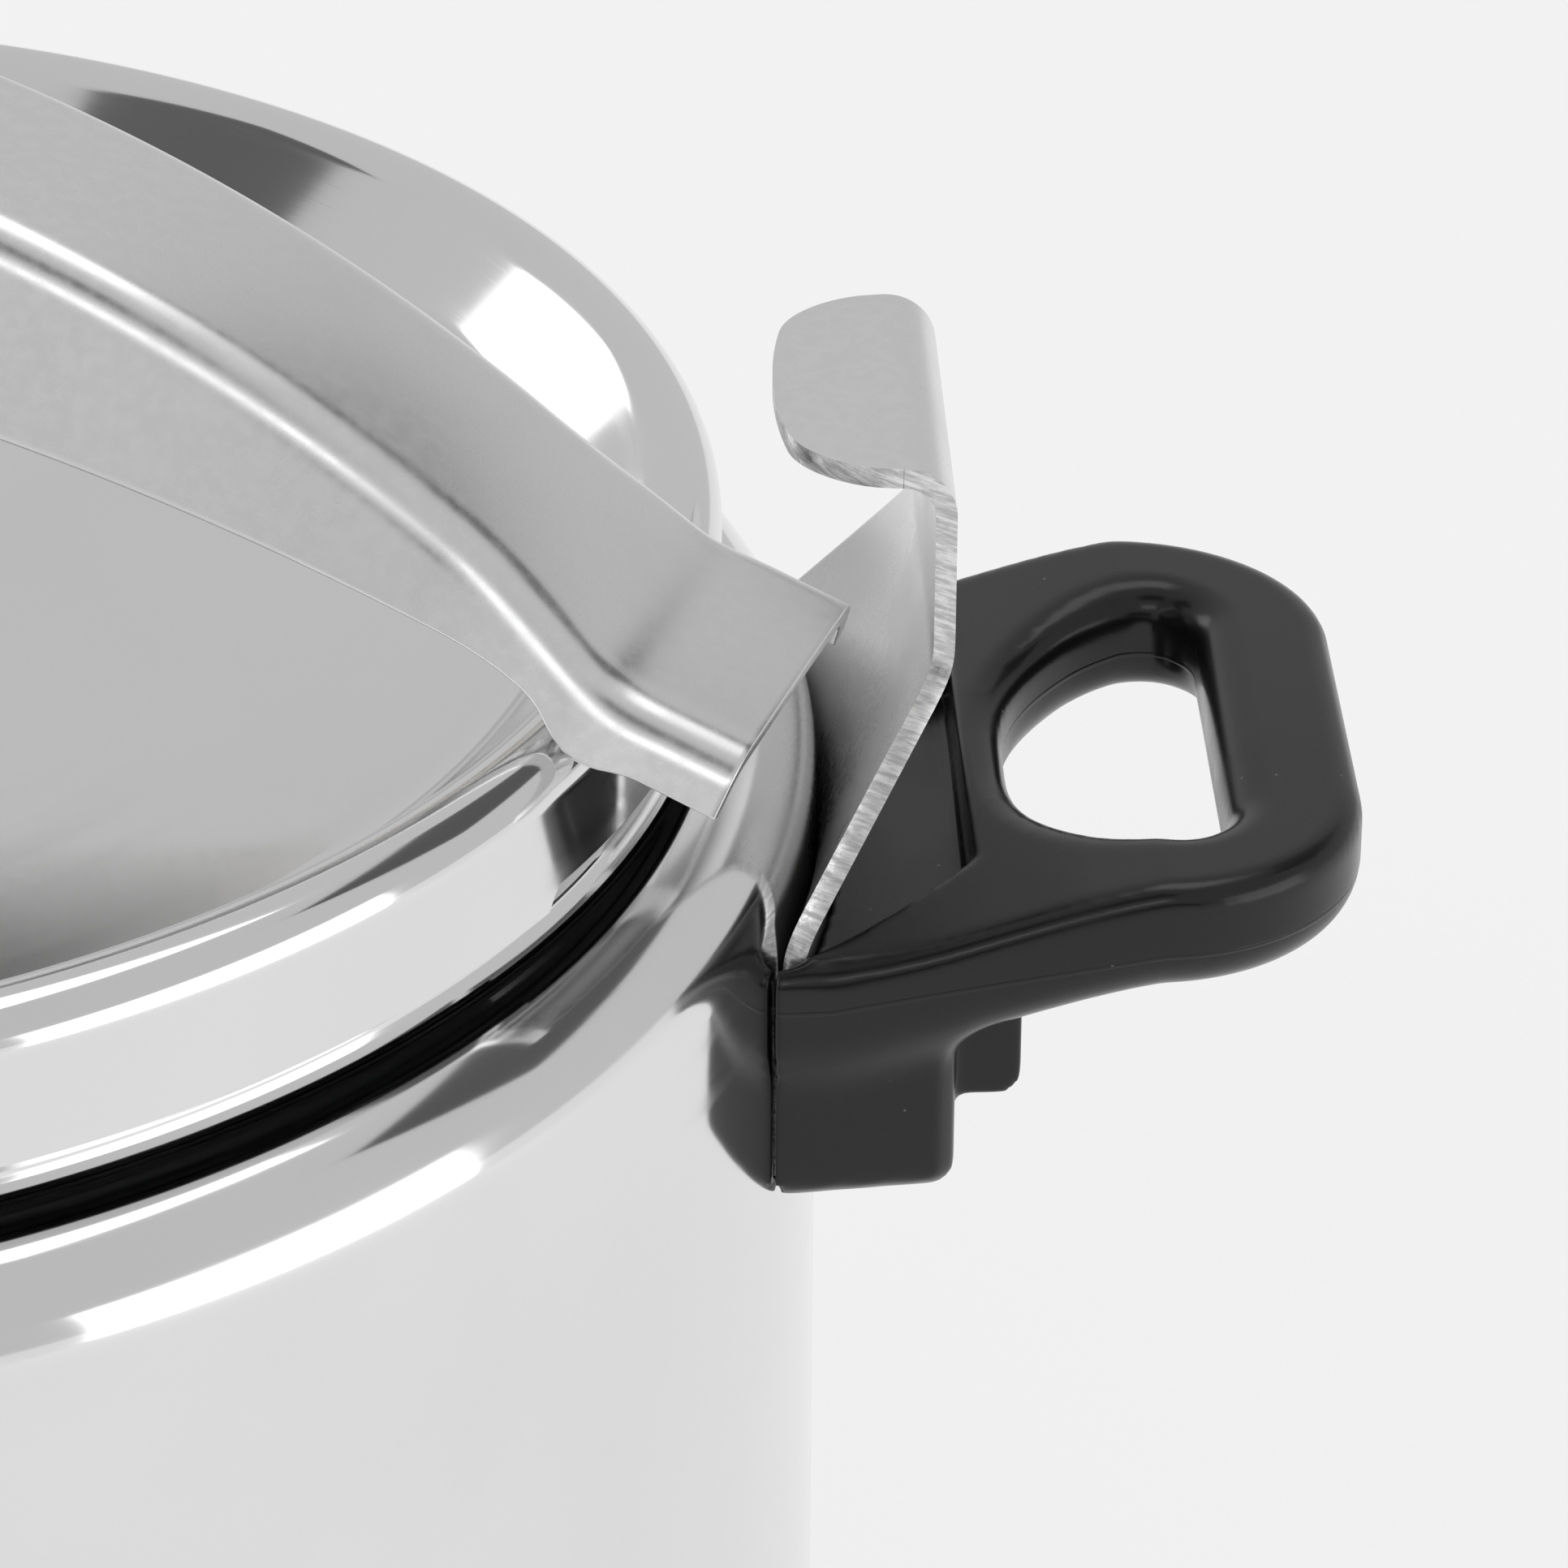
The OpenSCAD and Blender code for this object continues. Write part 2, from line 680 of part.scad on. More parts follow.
module weight_cap() {
    z = weight_z - 3 + weight_h;
    color([0.08, 0.08, 0.08]) at_valve(90) turned([[0, z], [weight_r + 1.5, z],
        [weight_r + 1.5, z + 2], [weight_r - 1, z + 4], [0, z + 4]]);
}

module safety_housing() {
    low_z = floor_z - lid_t - 10;
    color("gold") at_valve(270) difference() {
        union() {
            translate([0, 0, low_z]) cylinder(r = 5, h = floor_z - low_z + over);
            translate([0, 0, floor_z]) cylinder(r = safety_r, h = 15);
        }
        translate([0, 0, low_z - over]) cylinder(r = 2.6, h = 20);
        translate([0, 0, floor_z + 2]) cylinder(r = safety_r - 1.4, h = 20);
    }
}

module safety_nut() {
    color("gold") at_valve(270) difference() {
        hex(9, floor_z - lid_t - 7, 5);
        translate([0, 0, floor_z - lid_t - 8]) cylinder(r = 5 + run, h = 8);
    }
}

module safety_washer() {
    color("dimgray") at_valve(270) ring(5 + slip, 9, floor_z - lid_t - 2, 2);
}

module safety_plunger() {
    color("silver") at_valve(270) turned([[0, floor_z - 6], [2.5, floor_z - 6],
        [2.5, floor_z + 2 + run], [4.2, floor_z + 2 + run], [4.2, floor_z + 3.5],
        [1.6, floor_z + 3.5], [1.6, floor_z + 19], [0, floor_z + 19]]);
}

// Helical spring: a twisted extrusion whose section is the coil cut level, a long thin crescent
module safety_spring() {
    z0 = floor_z + 3.6;
    z1 = floor_z + 14.2;
    half_turn = 180 * 2 * wire_r * spring_turns / (z1 - z0);
    steps = [-1 : 0.4 : 1];
    outer = [for (t = steps) let (r = spring_r + wire_r * sqrt(1 - 0.98 * t * t))
        [r * cos(t * half_turn), r * sin(t * half_turn)]];
    inner = [for (t = steps) let (r = spring_r - wire_r * sqrt(1 - 0.98 * t * t))
        [r * cos(-t * half_turn), r * sin(-t * half_turn)]];
    color("gray") at_valve(270) translate([0, 0, z0])
        linear_extrude(height = z1 - z0, twist = -360 * spring_turns, slices = 9 * spring_turns,
            segments = 12)
            polygon(concat(outer, inner));
}

module safety_cap() {
    color("gold") at_valve(270) difference() {
        union() {
            translate([0, 0, floor_z + 15]) cylinder(r = safety_r, h = 2);
            translate([0, 0, floor_z + 12.4 + 2]) cylinder(r = safety_r - 1.4 - run, h = 1);
        }
        translate([0, 0, floor_z + 10]) cylinder(r = 1.6 + run, h = 10);
        for (a = [0 : 90 : 270]) rotate([0, 0, a]) translate([4.2, 0, floor_z + 10])
            cylinder(r = 1, h = 10);
    }
}

pot_body();
heat_spreader();
base_cap();
weld_bosses();
hook_bracket_right();
hook_bracket_left();
side_handle_right();
side_handle_left();
handle_screws();
lid_shell();
lid_seal();
lid_boss();
pressure_pad();
pad_clip();
spindle();
clamp_bar();
bar_bush();
bush_rivets();
clamp_knob();
knob_insert();
knob_pin();
knob_cap();
valve_nozzle();
valve_nut();
valve_washer();
valve_weight();
weight_cap();
safety_housing();
safety_nut();
safety_washer();
safety_plunger();
safety_spring();
safety_cap();
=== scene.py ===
"""Pressure cooker closed by a clamp bar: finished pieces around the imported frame."""
import json

import bmesh
import bpy
import numpy as np
from bpy.props import (FloatProperty, FloatVectorProperty, IntProperty, PointerProperty)
from mathutils import Matrix, Vector


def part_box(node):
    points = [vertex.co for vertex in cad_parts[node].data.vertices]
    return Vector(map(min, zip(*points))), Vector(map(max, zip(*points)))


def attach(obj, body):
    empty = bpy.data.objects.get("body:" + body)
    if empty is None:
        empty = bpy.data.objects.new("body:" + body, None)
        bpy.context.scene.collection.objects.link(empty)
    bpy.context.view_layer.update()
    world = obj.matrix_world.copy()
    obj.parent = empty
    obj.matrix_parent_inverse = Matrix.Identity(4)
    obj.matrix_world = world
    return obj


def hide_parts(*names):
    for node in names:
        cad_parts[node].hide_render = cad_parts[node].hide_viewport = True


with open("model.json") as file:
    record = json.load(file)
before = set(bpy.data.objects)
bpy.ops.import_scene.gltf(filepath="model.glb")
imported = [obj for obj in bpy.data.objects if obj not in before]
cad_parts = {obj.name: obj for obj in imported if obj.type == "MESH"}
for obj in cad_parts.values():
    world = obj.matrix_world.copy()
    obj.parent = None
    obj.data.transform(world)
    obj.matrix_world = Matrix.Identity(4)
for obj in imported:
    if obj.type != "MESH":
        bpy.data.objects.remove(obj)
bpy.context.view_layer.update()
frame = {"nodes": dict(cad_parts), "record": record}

bl_info = {
    "name": "Clamp Bar Pressure Cooker",
    "version": (1, 0, 0),
    "blender": (4, 5, 0),
    "location": "3D View > Sidebar > Cooker",
    "description": "Builds a stovetop pressure cooker with a clamp bar, hooks and moulded handles",
    "category": "Add Mesh",
}


# ---------------------------------------------------------------- sizes and colours

def length(name, text, default):
    """A length in metres that the sidebar shows."""
    return FloatProperty(name=name, description=text, default=default, min=0.0, unit="LENGTH",
                         precision=4)


def angle(name, text, degrees):
    return FloatProperty(name=name, description=text, default=float(np.radians(degrees)),
                         unit="ROTATION")


def colour(name, text, default):
    return FloatVectorProperty(name=name, description=text, default=default, size=3,
                               subtype="COLOR", min=0.0, max=1.0)


class PotSizes(bpy.types.PropertyGroup):
    radius: length("Wall radius", "Outer radius of the straight wall", 0.121)
    seam: length("Seam height", "Height of the lid's lower edge", 0.180)
    sheet: length("Sheet", "Thickness of the pot's sheet", 0.001)
    shoulder: length("Shoulder radius", "Radius of the rounded shoulder", 0.010)
    drop: length("Shoulder drop", "Depth of the shoulder's top below the seam", 0.0076)
    floor: length("Floor height", "Height of the pot's floor over the base", 0.006)
    base_edge: length("Base radius", "Radius between the wall and the floor", 0.012)


class LidSizes(bpy.types.PropertyGroup):
    inset: length("Skirt inset", "Distance from the pot's wall in to the skirt", 0.0092)
    crest: length("Crest height", "Height of the ridge over the seam", 0.0122)
    ridge: length("Ridge radius", "Radius of the rounded ridge", 0.0043)
    recess: length("Recess depth", "Depth of the flat centre under the crest", 0.0092)
    sheet: length("Sheet", "Thickness of the lid's sheet", 0.001)
    lip: length("Lip height", "Height of the locating lip under the skirt", 0.0022)
    slope: angle("Recess slope", "Slope of the ridge's inner side", 45)
    gap: angle("Lip gap", "Half angle of the lip's gap at each handle", 31.6)


class BarSizes(bpy.types.PropertyGroup):
    crown: length("Crown height", "Height of the bar's crown over the seam", 0.0615)
    arch: length("Arch radius", "Radius of the arch's top face", 0.1653)
    belly: length("Belly radius", "Radius of the curved lower edge", 0.2333)
    depth: length("Depth", "Depth of the sides at the crown", 0.020)
    sheet: length("Sheet", "Thickness of the bar's sheet", 0.0022)
    tongue_root: length("Tongue root", "Height of the tongue's root over the seam", 0.0173)
    tongue_end: length("Tongue end", "Distance from the axis to the tongue's end", 0.1252)
    tongue_slope: angle("Tongue slope", "Slope of the tongue", 20)
    swing: angle("Swing", "Angle that the bar is swung back from the hooks", 20)


class BracketSizes(bpy.types.PropertyGroup):
    sheet: length("Sheet", "Thickness of a bracket's sheet", 0.002)
    width: length("Half width", "Half width of the hook and its upright", 0.0188)
    foot: length("Foot half width", "Half width of the foot on the wall", 0.034)
    reach: length("Reach", "Distance from the wall to the upright", 0.012)
    height: length("Hook height", "Height of the hook over the seam", 0.021)
    depth: length("Hook depth", "Depth of the hook from tip to upright", 0.0164)
    bend: length("Bend radius", "Outer radius of the hook's bend", 0.005)
    foot_top: length("Foot top", "Depth of the foot's top below the seam", 0.022)


class HandleSizes(bpy.types.PropertyGroup):
    reach: length("Reach", "Distance from the wall to the grip's end", 0.051)
    width: length("Half width", "Half width of the grip", 0.0365)
    thick: length("Thickness", "Thickness of the grip", 0.012)
    drop: length("Drop", "Depth of the grip's middle below the seam", 0.020)
    root_drop: length("Root drop", "Depth of the grip's middle at the wall", 0.0285)
    block_depth: length("Block depth", "Depth of the mounting block", 0.012)
    block_bottom: length("Block bottom", "Depth of the block's bottom below the seam", 0.048)
    cell: length("Cell", "Size of the cells that the moulding is worked out on", 0.0006)


class KnobSizes(bpy.types.PropertyGroup):
    radius: length("Radius", "Radius over the knob's lobes", 0.030)
    height: length("Height", "Height of the knob", 0.030)
    lobes: IntProperty(name="Lobes", description="Number of lobes", default=6, min=4, max=10)
    pitch: length("Thread pitch", "Rise of the thread in one turn", 0.004)


class Finishes(bpy.types.PropertyGroup):
    steel: colour("Polished steel", "Colour of the polished sheet", (0.80, 0.80, 0.80))
    satin: colour("Satin steel", "Colour of the bar and brackets", (0.78, 0.78, 0.78))
    phenolic: colour("Phenolic", "Colour of the moulded handles", (0.006, 0.006, 0.006))
    brass: colour("Brass", "Colour of the valve fittings", (0.70, 0.54, 0.27))
    floor: colour("Floor", "Colour of the floor", (0.30, 0.30, 0.30))


# ---------------------------------------------------------------- shader maths

class Signal:
    """A node's output socket. An operator on it adds the Math node of that name."""

    def __init__(self, finish, socket):
        self.finish = finish
        self.socket = socket

    def math(self, operation, *values):
        return self.finish.node("ShaderNodeMath", {"operation": operation},
                                dict(enumerate(values)))

    def __add__(self, other):
        return self.math("ADD", self, other)

    def __radd__(self, other):
        return self.math("ADD", other, self)

    def __sub__(self, other):
        return self.math("SUBTRACT", self, other)

    def __rsub__(self, other):
        return self.math("SUBTRACT", other, self)

    def __mul__(self, other):
        return self.math("MULTIPLY", self, other)

    def __rmul__(self, other):
        return self.math("MULTIPLY", other, self)

    def __truediv__(self, other):
        return self.math("DIVIDE", self, other)

    def __pow__(self, other):
        return self.math("POWER", self, other)

    def clamp(self):
        return self.finish.node("ShaderNodeClamp", {}, {"Value": self})

    def between(self, low, high):
        """0 below low, 1 above high, and smooth between them."""
        return self.finish.node("ShaderNodeMapRange", {"interpolation_type": "SMOOTHSTEP"},
                                {"Value": self, "From Min": low, "From Max": high})


class Finish:
    """One procedural material: a Principled shader and the nodes that vary it."""

    def __init__(self, name, base, metallic, roughness, **constants):
        # The ending keeps it apart from the frame's own material of the same slot
        self.material = bpy.data.materials.new(name + "_finish")
        self.material.use_nodes = True
        self.tree = self.material.node_tree
        self.shader = self.tree.nodes["Principled BSDF"]
        self.set("Base Color", (*base, 1.0))
        self.set("Metallic", metallic)
        self.set("Roughness", roughness)
        for socket, value in constants.items():
            self.set(socket.replace("_", " "), value)
        self.material.diffuse_color = (*base, 1.0)
        self.material.metallic = metallic
        self.material.roughness = roughness

    def node(self, kind, settings, values, out=0):
        """Adds a node, sets its settings, then gives its inputs their values or links."""
        made = self.tree.nodes.new(kind)
        for key, value in settings.items():
            setattr(made, key, value)
        for key, value in values.items():
            if isinstance(value, Signal):
                self.tree.links.new(value.socket, made.inputs[key])
            else:
                made.inputs[key].default_value = value
        return Signal(self, made.outputs[out])

    def set(self, socket, value):
        if isinstance(value, Signal):
            self.tree.links.new(value.socket, self.shader.inputs[socket])
        else:
            self.shader.inputs[socket].default_value = value

    def place(self):
        """Position on the piece, in metres."""
        return self.node("ShaderNodeTexCoord", {}, {}, out="Object")

    def split(self, vector):
        made = self.node("ShaderNodeSeparateXYZ", {}, {"Vector": vector})
        return [Signal(self, made.socket.node.outputs[i]) for i in range(3)]

    def join(self, x, y, z):
        return self.node("ShaderNodeCombineXYZ", {}, {"X": x, "Y": y, "Z": z})

    def noise(self, vector, scale, detail=2.0, rough=0.5, **extra):
        values = {"Vector": vector, "Scale": scale, "Detail": detail, "Roughness": rough}
        values.update({key.upper(): value for key, value in extra.items()})
        settings = {"noise_dimensions": "4D" if extra else "3D"}
        return self.node("ShaderNodeTexNoise", settings, values, out=0)

    def blend(self, mask, low, high):
        """Mix of two colours by a mask."""
        made = self.node("ShaderNodeMix", {"data_type": "RGBA"}, {0: mask, 6: low, 7: high})
        return Signal(self, made.socket.node.outputs[2])

    def bump(self, height, distance, strength=1.0):
        """Fine relief, its height in metres, over the whole piece."""
        self.set("Normal", self.node("ShaderNodeBump", {}, {
            "Height": height, "Distance": distance, "Strength": strength}))


def round_the_axis(finish, around, along):
    """Noise in fine rings: slow round the axis, fast in radius and height."""
    x, y, z = finish.split(finish.place())
    radius = (x * x + y * y) ** 0.5
    far = radius + 1e-4
    vector = finish.join(x / far * around, y / far * around, z * along)
    return vector, radius * along


def polished_steel():
    """Mirror polish with fine lines round the axis that fray the reflections."""
    c = bpy.context.scene.cooker_finish.steel
    f = Finish("polished_steel", c, 1.0, 0.05)
    fine, w = round_the_axis(f, 5.0, 2600.0)
    lines = f.noise(fine, 1.0, 3.0, 0.65, w=w)
    broad, w2 = round_the_axis(f, 1.6, 240.0)
    bands = f.noise(broad, 1.0, 2.0, 0.5, w=w2)
    cloud = f.noise(f.place(), 18.0, 3.0, 0.6)
    scratch = lines.between(0.60, 0.75)
    f.set("Roughness", 0.085 + 0.05 * bands.between(0.45, 0.7) + 0.07 * scratch
          + 0.03 * cloud.between(0.5, 0.72))
    f.set("Base Color", f.blend(cloud.between(0.35, 0.75), (*[v * 0.97 for v in c], 1.0),
                                (*c, 1.0)))
    f.bump(lines + 0.6 * bands, 0.0000012, 0.6)
    return f.material


def satin_steel(name="satin_steel", grain=1.0):
    """Pressed sheet: soft satin with a fine mottled grain and a few tool marks."""
    c = bpy.context.scene.cooker_finish.satin
    f = Finish(name, c, 1.0, 0.3)
    place = f.place()
    mottle = f.noise(place, 700.0, 4.0, 0.6)
    patch = f.noise(place, 45.0, 2.0, 0.5)
    fine = f.noise(place, 3200.0, 2.0, 0.6)
    f.set("Roughness", 0.24 + 0.05 * mottle.between(0.35, 0.7) + 0.07 * patch.between(0.4, 0.7))
    f.set("Base Color", f.blend(mottle.between(0.3, 0.75), (*[v * 0.96 for v in c], 1.0),
                                (*c, 1.0)))
    f.bump(0.7 * mottle + 0.3 * fine, 0.0000022 * grain, 0.6)
    return f.material


def satin_edge():
    """Edge of the pressed bar, dressed smooth."""
    return satin_steel("satin_edge", 2.0)


def sheared_edge():
    """Edge of the blanked sheet: half of it burnished, half torn into fine ridges."""
    c = bpy.context.scene.cooker_finish.satin
    f = Finish("sheared_edge", [v * 0.85 for v in c], 1.0, 0.3)
    x, y, z = f.split(f.place())
    ridges = f.noise(f.join(x * 300.0, y * 300.0, (z + 0.4 * x) * 2300.0), 1.0, 3.0, 0.7)
    pits = f.noise(f.place(), 1500.0, 3.0, 0.7)
    f.set("Roughness", 0.25 + 0.15 * pits.between(0.4, 0.65))
    f.set("Base Color", f.blend(ridges.between(0.35, 0.68), (*[v * 0.62 for v in c], 1.0),
                                (*[v * 1.05 for v in c], 1.0)))
    f.bump(0.8 * ridges + 0.2 * pits, 0.00004, 0.7)
    return f.material


def turned_steel():
    """Lathe-turned fixings."""
    f = Finish("steel_fixings", (0.58, 0.58, 0.59), 1.0, 0.24)
    place = f.place()
    rings = f.noise(place, 1800.0, 2.0, 0.6)
    worn = f.noise(place, 220.0, 3.0, 0.6)
    f.set("Roughness", 0.18 + 0.16 * worn.between(0.35, 0.7))
    f.bump(rings, 0.000012, 0.5)
    return f.material


def spun_aluminium():
    """Satin aluminium with rings."""
    f = Finish("aluminium", (0.76, 0.77, 0.78), 1.0, 0.3)
    fine, w = round_the_axis(f, 3.0, 1500.0)
    rings = f.noise(fine, 1.0, 3.0, 0.6, w=w)
    f.set("Roughness", 0.22 + 0.18 * rings.between(0.35, 0.7))
    f.bump(rings, 0.00002, 0.6)
    return f.material


def turned_brass():
    """Brass with a faint tarnish in patches."""
    c = bpy.context.scene.cooker_finish.brass
    f = Finish("brass", c, 1.0, 0.25)
    patch = f.noise(f.place(), 160.0, 4.0, 0.6)
    fine = f.noise(f.place(), 2200.0, 2.0, 0.6)
    f.set("Base Color", f.blend(patch.between(0.4, 0.7), (*c, 1.0),
                                (c[0] * 0.72, c[1] * 0.66, c[2] * 0.6, 1.0)))
    f.set("Roughness", 0.18 + 0.2 * patch.between(0.35, 0.7))
    f.bump(fine, 0.00001, 0.5)
    return f.material


def seal_rubber():
    """Matt rubber with a light bloom."""
    f = Finish("seal_rubber", (0.035, 0.035, 0.037), 0.0, 0.7)
    bloom = f.noise(f.place(), 60.0, 4.0, 0.6)
    fine = f.noise(f.place(), 1600.0, 2.0, 0.6)
    f.set("Base Color", f.blend(bloom.between(0.45, 0.75), (0.03, 0.03, 0.032, 1.0),
                                (0.07, 0.07, 0.072, 1.0)))
    f.set("Roughness", 0.6 + 0.2 * bloom)
    f.bump(fine, 0.00002, 0.6)
    return f.material


def black_phenolic(name="black_phenolic", parting=None):
    """Moulded phenolic: satin black, faint flow clouds and dust, and the mould's parting line.

    parting is (height at the wall, height at the knee, distance of the knee) of that line."""
    c = bpy.context.scene.cooker_finish.phenolic
    f = Finish(name, c, 0.0, 0.3, Specular_IOR_Level=0.4)
    place = f.place()
    cloud = f.noise(place, 70.0, 4.0, 0.6)
    fine = f.noise(place, 2600.0, 2.0, 0.6)
    dust = f.node("ShaderNodeTexVoronoi", {"feature": "F1"},
                  {"Vector": place, "Scale": 330.0}, out="Distance")
    speck = (1.0 - dust.between(0.03, 0.075)) * cloud.between(0.52, 0.6)
    f.set("Roughness", 0.20 + 0.10 * cloud.between(0.35, 0.7) + 0.3 * speck)
    f.set("Base Color", f.blend(speck * 0.55, (*c, 1.0), (0.3, 0.3, 0.3, 1.0)))
    height = 0.25 * fine + 0.5 * cloud
    if parting is not None:
        wall, knee, far = parting
        x, _, z = f.split(place)
        out = (x * x) ** 0.5
        rise = ((out - 0.121) / (far - 0.121)).clamp()
        away = z - (wall + (knee - wall) * rise)
        line = 1.0 - ((away * away) ** 0.5).between(0.00008, 0.00028)
        height = height + 2.2 * line
    f.bump(height, 0.00003, 0.7)
    return f.material


FINISHES = {
    "polished_steel": polished_steel, "satin_steel": satin_steel,
    "steel_fixings": turned_steel, "aluminium": spun_aluminium, "brass": turned_brass,
    "seal_rubber": seal_rubber, "black_phenolic": black_phenolic, "satin_edge": satin_edge,
}


def finish_for(slot):
    """The material of one of the record's slots, made when it is first asked for."""
    name = slot + "_finish"
    return bpy.data.materials.get(name) or FINISHES[slot]()


# ---------------------------------------------------------------- meshes

def piece(name, points, faces, body, slot, stands_for=(), weld=True, crease=40.0):
    """Makes one finished piece from an array of points and one of faces, ready to ride."""
    mesh = bpy.data.meshes.new(name)
    points = np.asarray(points, np.float32).reshape(-1, 3)
    faces = np.asarray(faces, np.int32)
    count, corners = faces.shape
    mesh.vertices.add(len(points))
    mesh.vertices.foreach_set("co", points.ravel())
    mesh.loops.add(count * corners)
    mesh.loops.foreach_set("vertex_index", faces.ravel())
    mesh.polygons.add(count)
    mesh.polygons.foreach_set("loop_start", np.arange(count, dtype=np.int32) * corners)
    mesh.update(calc_edges=True)
    if weld:
        work = bmesh.new()
        work.from_mesh(mesh)
        bmesh.ops.remove_doubles(work, verts=work.verts, dist=2e-6)
        bmesh.ops.recalc_face_normals(work, faces=work.faces)
        work.to_mesh(mesh)
        work.free()
    mesh.validate()
    mesh.shade_smooth()
    mesh.set_sharp_from_angle(angle=np.radians(crease))
    made = bpy.data.objects.new(name, mesh)
    bpy.context.scene.collection.objects.link(made)
    mesh.materials.append(finish_for(slot))
    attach(made, body)
    if stands_for:
        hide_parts(*stands_for)
    return made


def grid_faces(rows, columns, wrap_rows=False, wrap_columns=False):
    """Quads of a grid of points, row by row."""
    r = np.arange(rows if wrap_rows else rows - 1)[:, None]
    c = np.arange(columns if wrap_columns else columns - 1)[None, :]
    r2, c2 = (r + 1) % rows, (c + 1) % columns
    return np.stack([r * columns + c, r * columns + c2, r2 * columns + c2, r2 * columns + c],
                    -1).reshape(-1, 4)


def turned(profile, segments=480):
    """Surface of revolution: the point (radius, height) of the profile carried round the
    axis, x = radius cos(turn), y = radius sin(turn)."""
    turn = np.linspace(0, 2 * np.pi, segments, endpoint=False)[:, None]
    r, z = np.asarray(profile).T
    points = np.stack([r * np.cos(turn), r * np.sin(turn), z + 0 * turn], -1)
    return points, grid_faces(segments, len(r), wrap_rows=True)


def arc(x, z, r, start, end, n=24):
    """Points at r cos(a), r sin(a) from a centre, with a in degrees."""
    a = np.radians(np.linspace(start, end, n + 1))
    return np.stack([x + r * np.cos(a), z + r * np.sin(a)], -1)


def line(a, b, n=8):
    """Points from a to b that crowd towards both ends, so that the shading stays flat."""
    t = 0.5 - 0.5 * np.cos(np.pi * np.linspace(0, 1, n + 1)[1:-1])
    a, b = np.asarray(a, float), np.asarray(b, float)
    return a + (b - a) * t[:, None]


def path(*parts):
    """Joins parts of a profile, with rows of points along each straight between them."""
    out = [np.atleast_2d(parts[0])]
    for part in parts[1:]:
        part = np.atleast_2d(np.asarray(part, float))
        start, end = out[-1][-1], part[0]
        if np.linalg.norm(end - start) > 0.0015:
            out.append(line(start, end))
        out.append(part)
    return np.concatenate(out)


def turn_about_z(points, a):
    """Points turned by the angle a about the vertical axis."""
    c, s = np.cos(a), np.sin(a)
    return np.asarray(points) @ np.array([[c, s, 0], [-s, c, 0], [0, 0, 1]])


def thicken(made, thickness, edge_radius, edge_material=None):
    """Gives a sheet its thickness inwards and rounds its edges a little."""
    solid = made.modifiers.new("Sheet", "SOLIDIFY")
    solid.thickness = thickness
    solid.offset = -1.0
    if edge_material is not None:
        made.data.materials.append(edge_material)
        solid.material_offset_rim = 1
    bevel = made.modifiers.new("Edge", "BEVEL")
    bevel.width = edge_radius
    bevel.segments = 3
    bevel.limit_method = "ANGLE"
    bevel.angle_limit = np.radians(50)
    bevel.harden_normals = False


def finish_cad(*nodes):
    """Gives CAD nodes the finish of their slot in the record."""
    slots = {row["node"]: row["material_slot"] for row in frame["record"]["subparts"]}
    for node in nodes:
        mesh = frame["nodes"][node].data
        mesh.materials.clear()
        mesh.materials.append(finish_for(slots[node]))


# ---------------------------------------------------------------- the pot and the lid

def pot_profile(s, lid, rim):
    """Outline of the spun pot, outside and back down inside: floor, base radius, wall,
    rounded shoulder, neck that goes up inside the lid, and rim."""
    t = s.sheet
    top = s.seam - s.drop
    x = s.radius - s.shoulder
    neck = s.radius - lid.inset - lid.ridge + t / 2
    fillet = min(0.0025, x - neck)
    low = s.floor + s.base_edge

    def side(inset):
        return [
            arc(s.radius - s.base_edge, low, s.base_edge - inset, -90, 0, 20),
            arc(x, top - s.shoulder, s.shoulder - inset, 0, 90, 28),
            arc(neck + fillet, top + fillet, fillet + inset, 270, 180, 12)]

    outside = path([0.0, s.floor], *side(0.0), arc(neck - t / 2, rim - t / 2, t / 2, 0, 90, 5))
    inside = path(arc(neck - t / 2, rim - t / 2, t / 2, 90, 180, 5),
                  *[part[::-1] for part in side(t)[::-1]], [0.0, s.floor + t])
    return np.concatenate([outside, inside])


class COOKER_OT_pot(bpy.types.Operator):
    """Spin the pot's polished body and finish its base and fixings"""
    bl_idname = "cooker.pot"
    bl_label = "Pot"

    def execute(self, context):
        s, lid = context.scene.cooker_pot, context.scene.cooker_lid
        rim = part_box("pot_body")[1].z
        points, faces = turned(pot_profile(s, lid, rim))
        piece("pot_shell", points, faces, "pot", "polished_steel", ["pot_body"])
        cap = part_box("base_cap")
        r, top = cap[1].x, cap[1].z
        edge = 0.0012
        profile = path([0.0, 0.0], [0.040, 0.0], [0.0405, 0.0006], [0.0425, 0.0006],
                       [0.043, 0.0], arc(r - edge, edge, edge, -90, 0, 8),
                       arc(r - edge, top - edge, edge, 0, 90, 8),
                       [r - 0.0015, top], [r - 0.0015, top - 0.0006], [0.0, top - 0.0006])
        points, faces = turned(profile, 360)
        piece("base_disc", points, faces, "pot", "polished_steel", ["base_cap"])
        finish_cad("heat_spreader", "weld_bosses", "handle_screws")
        return {"FINISHED"}


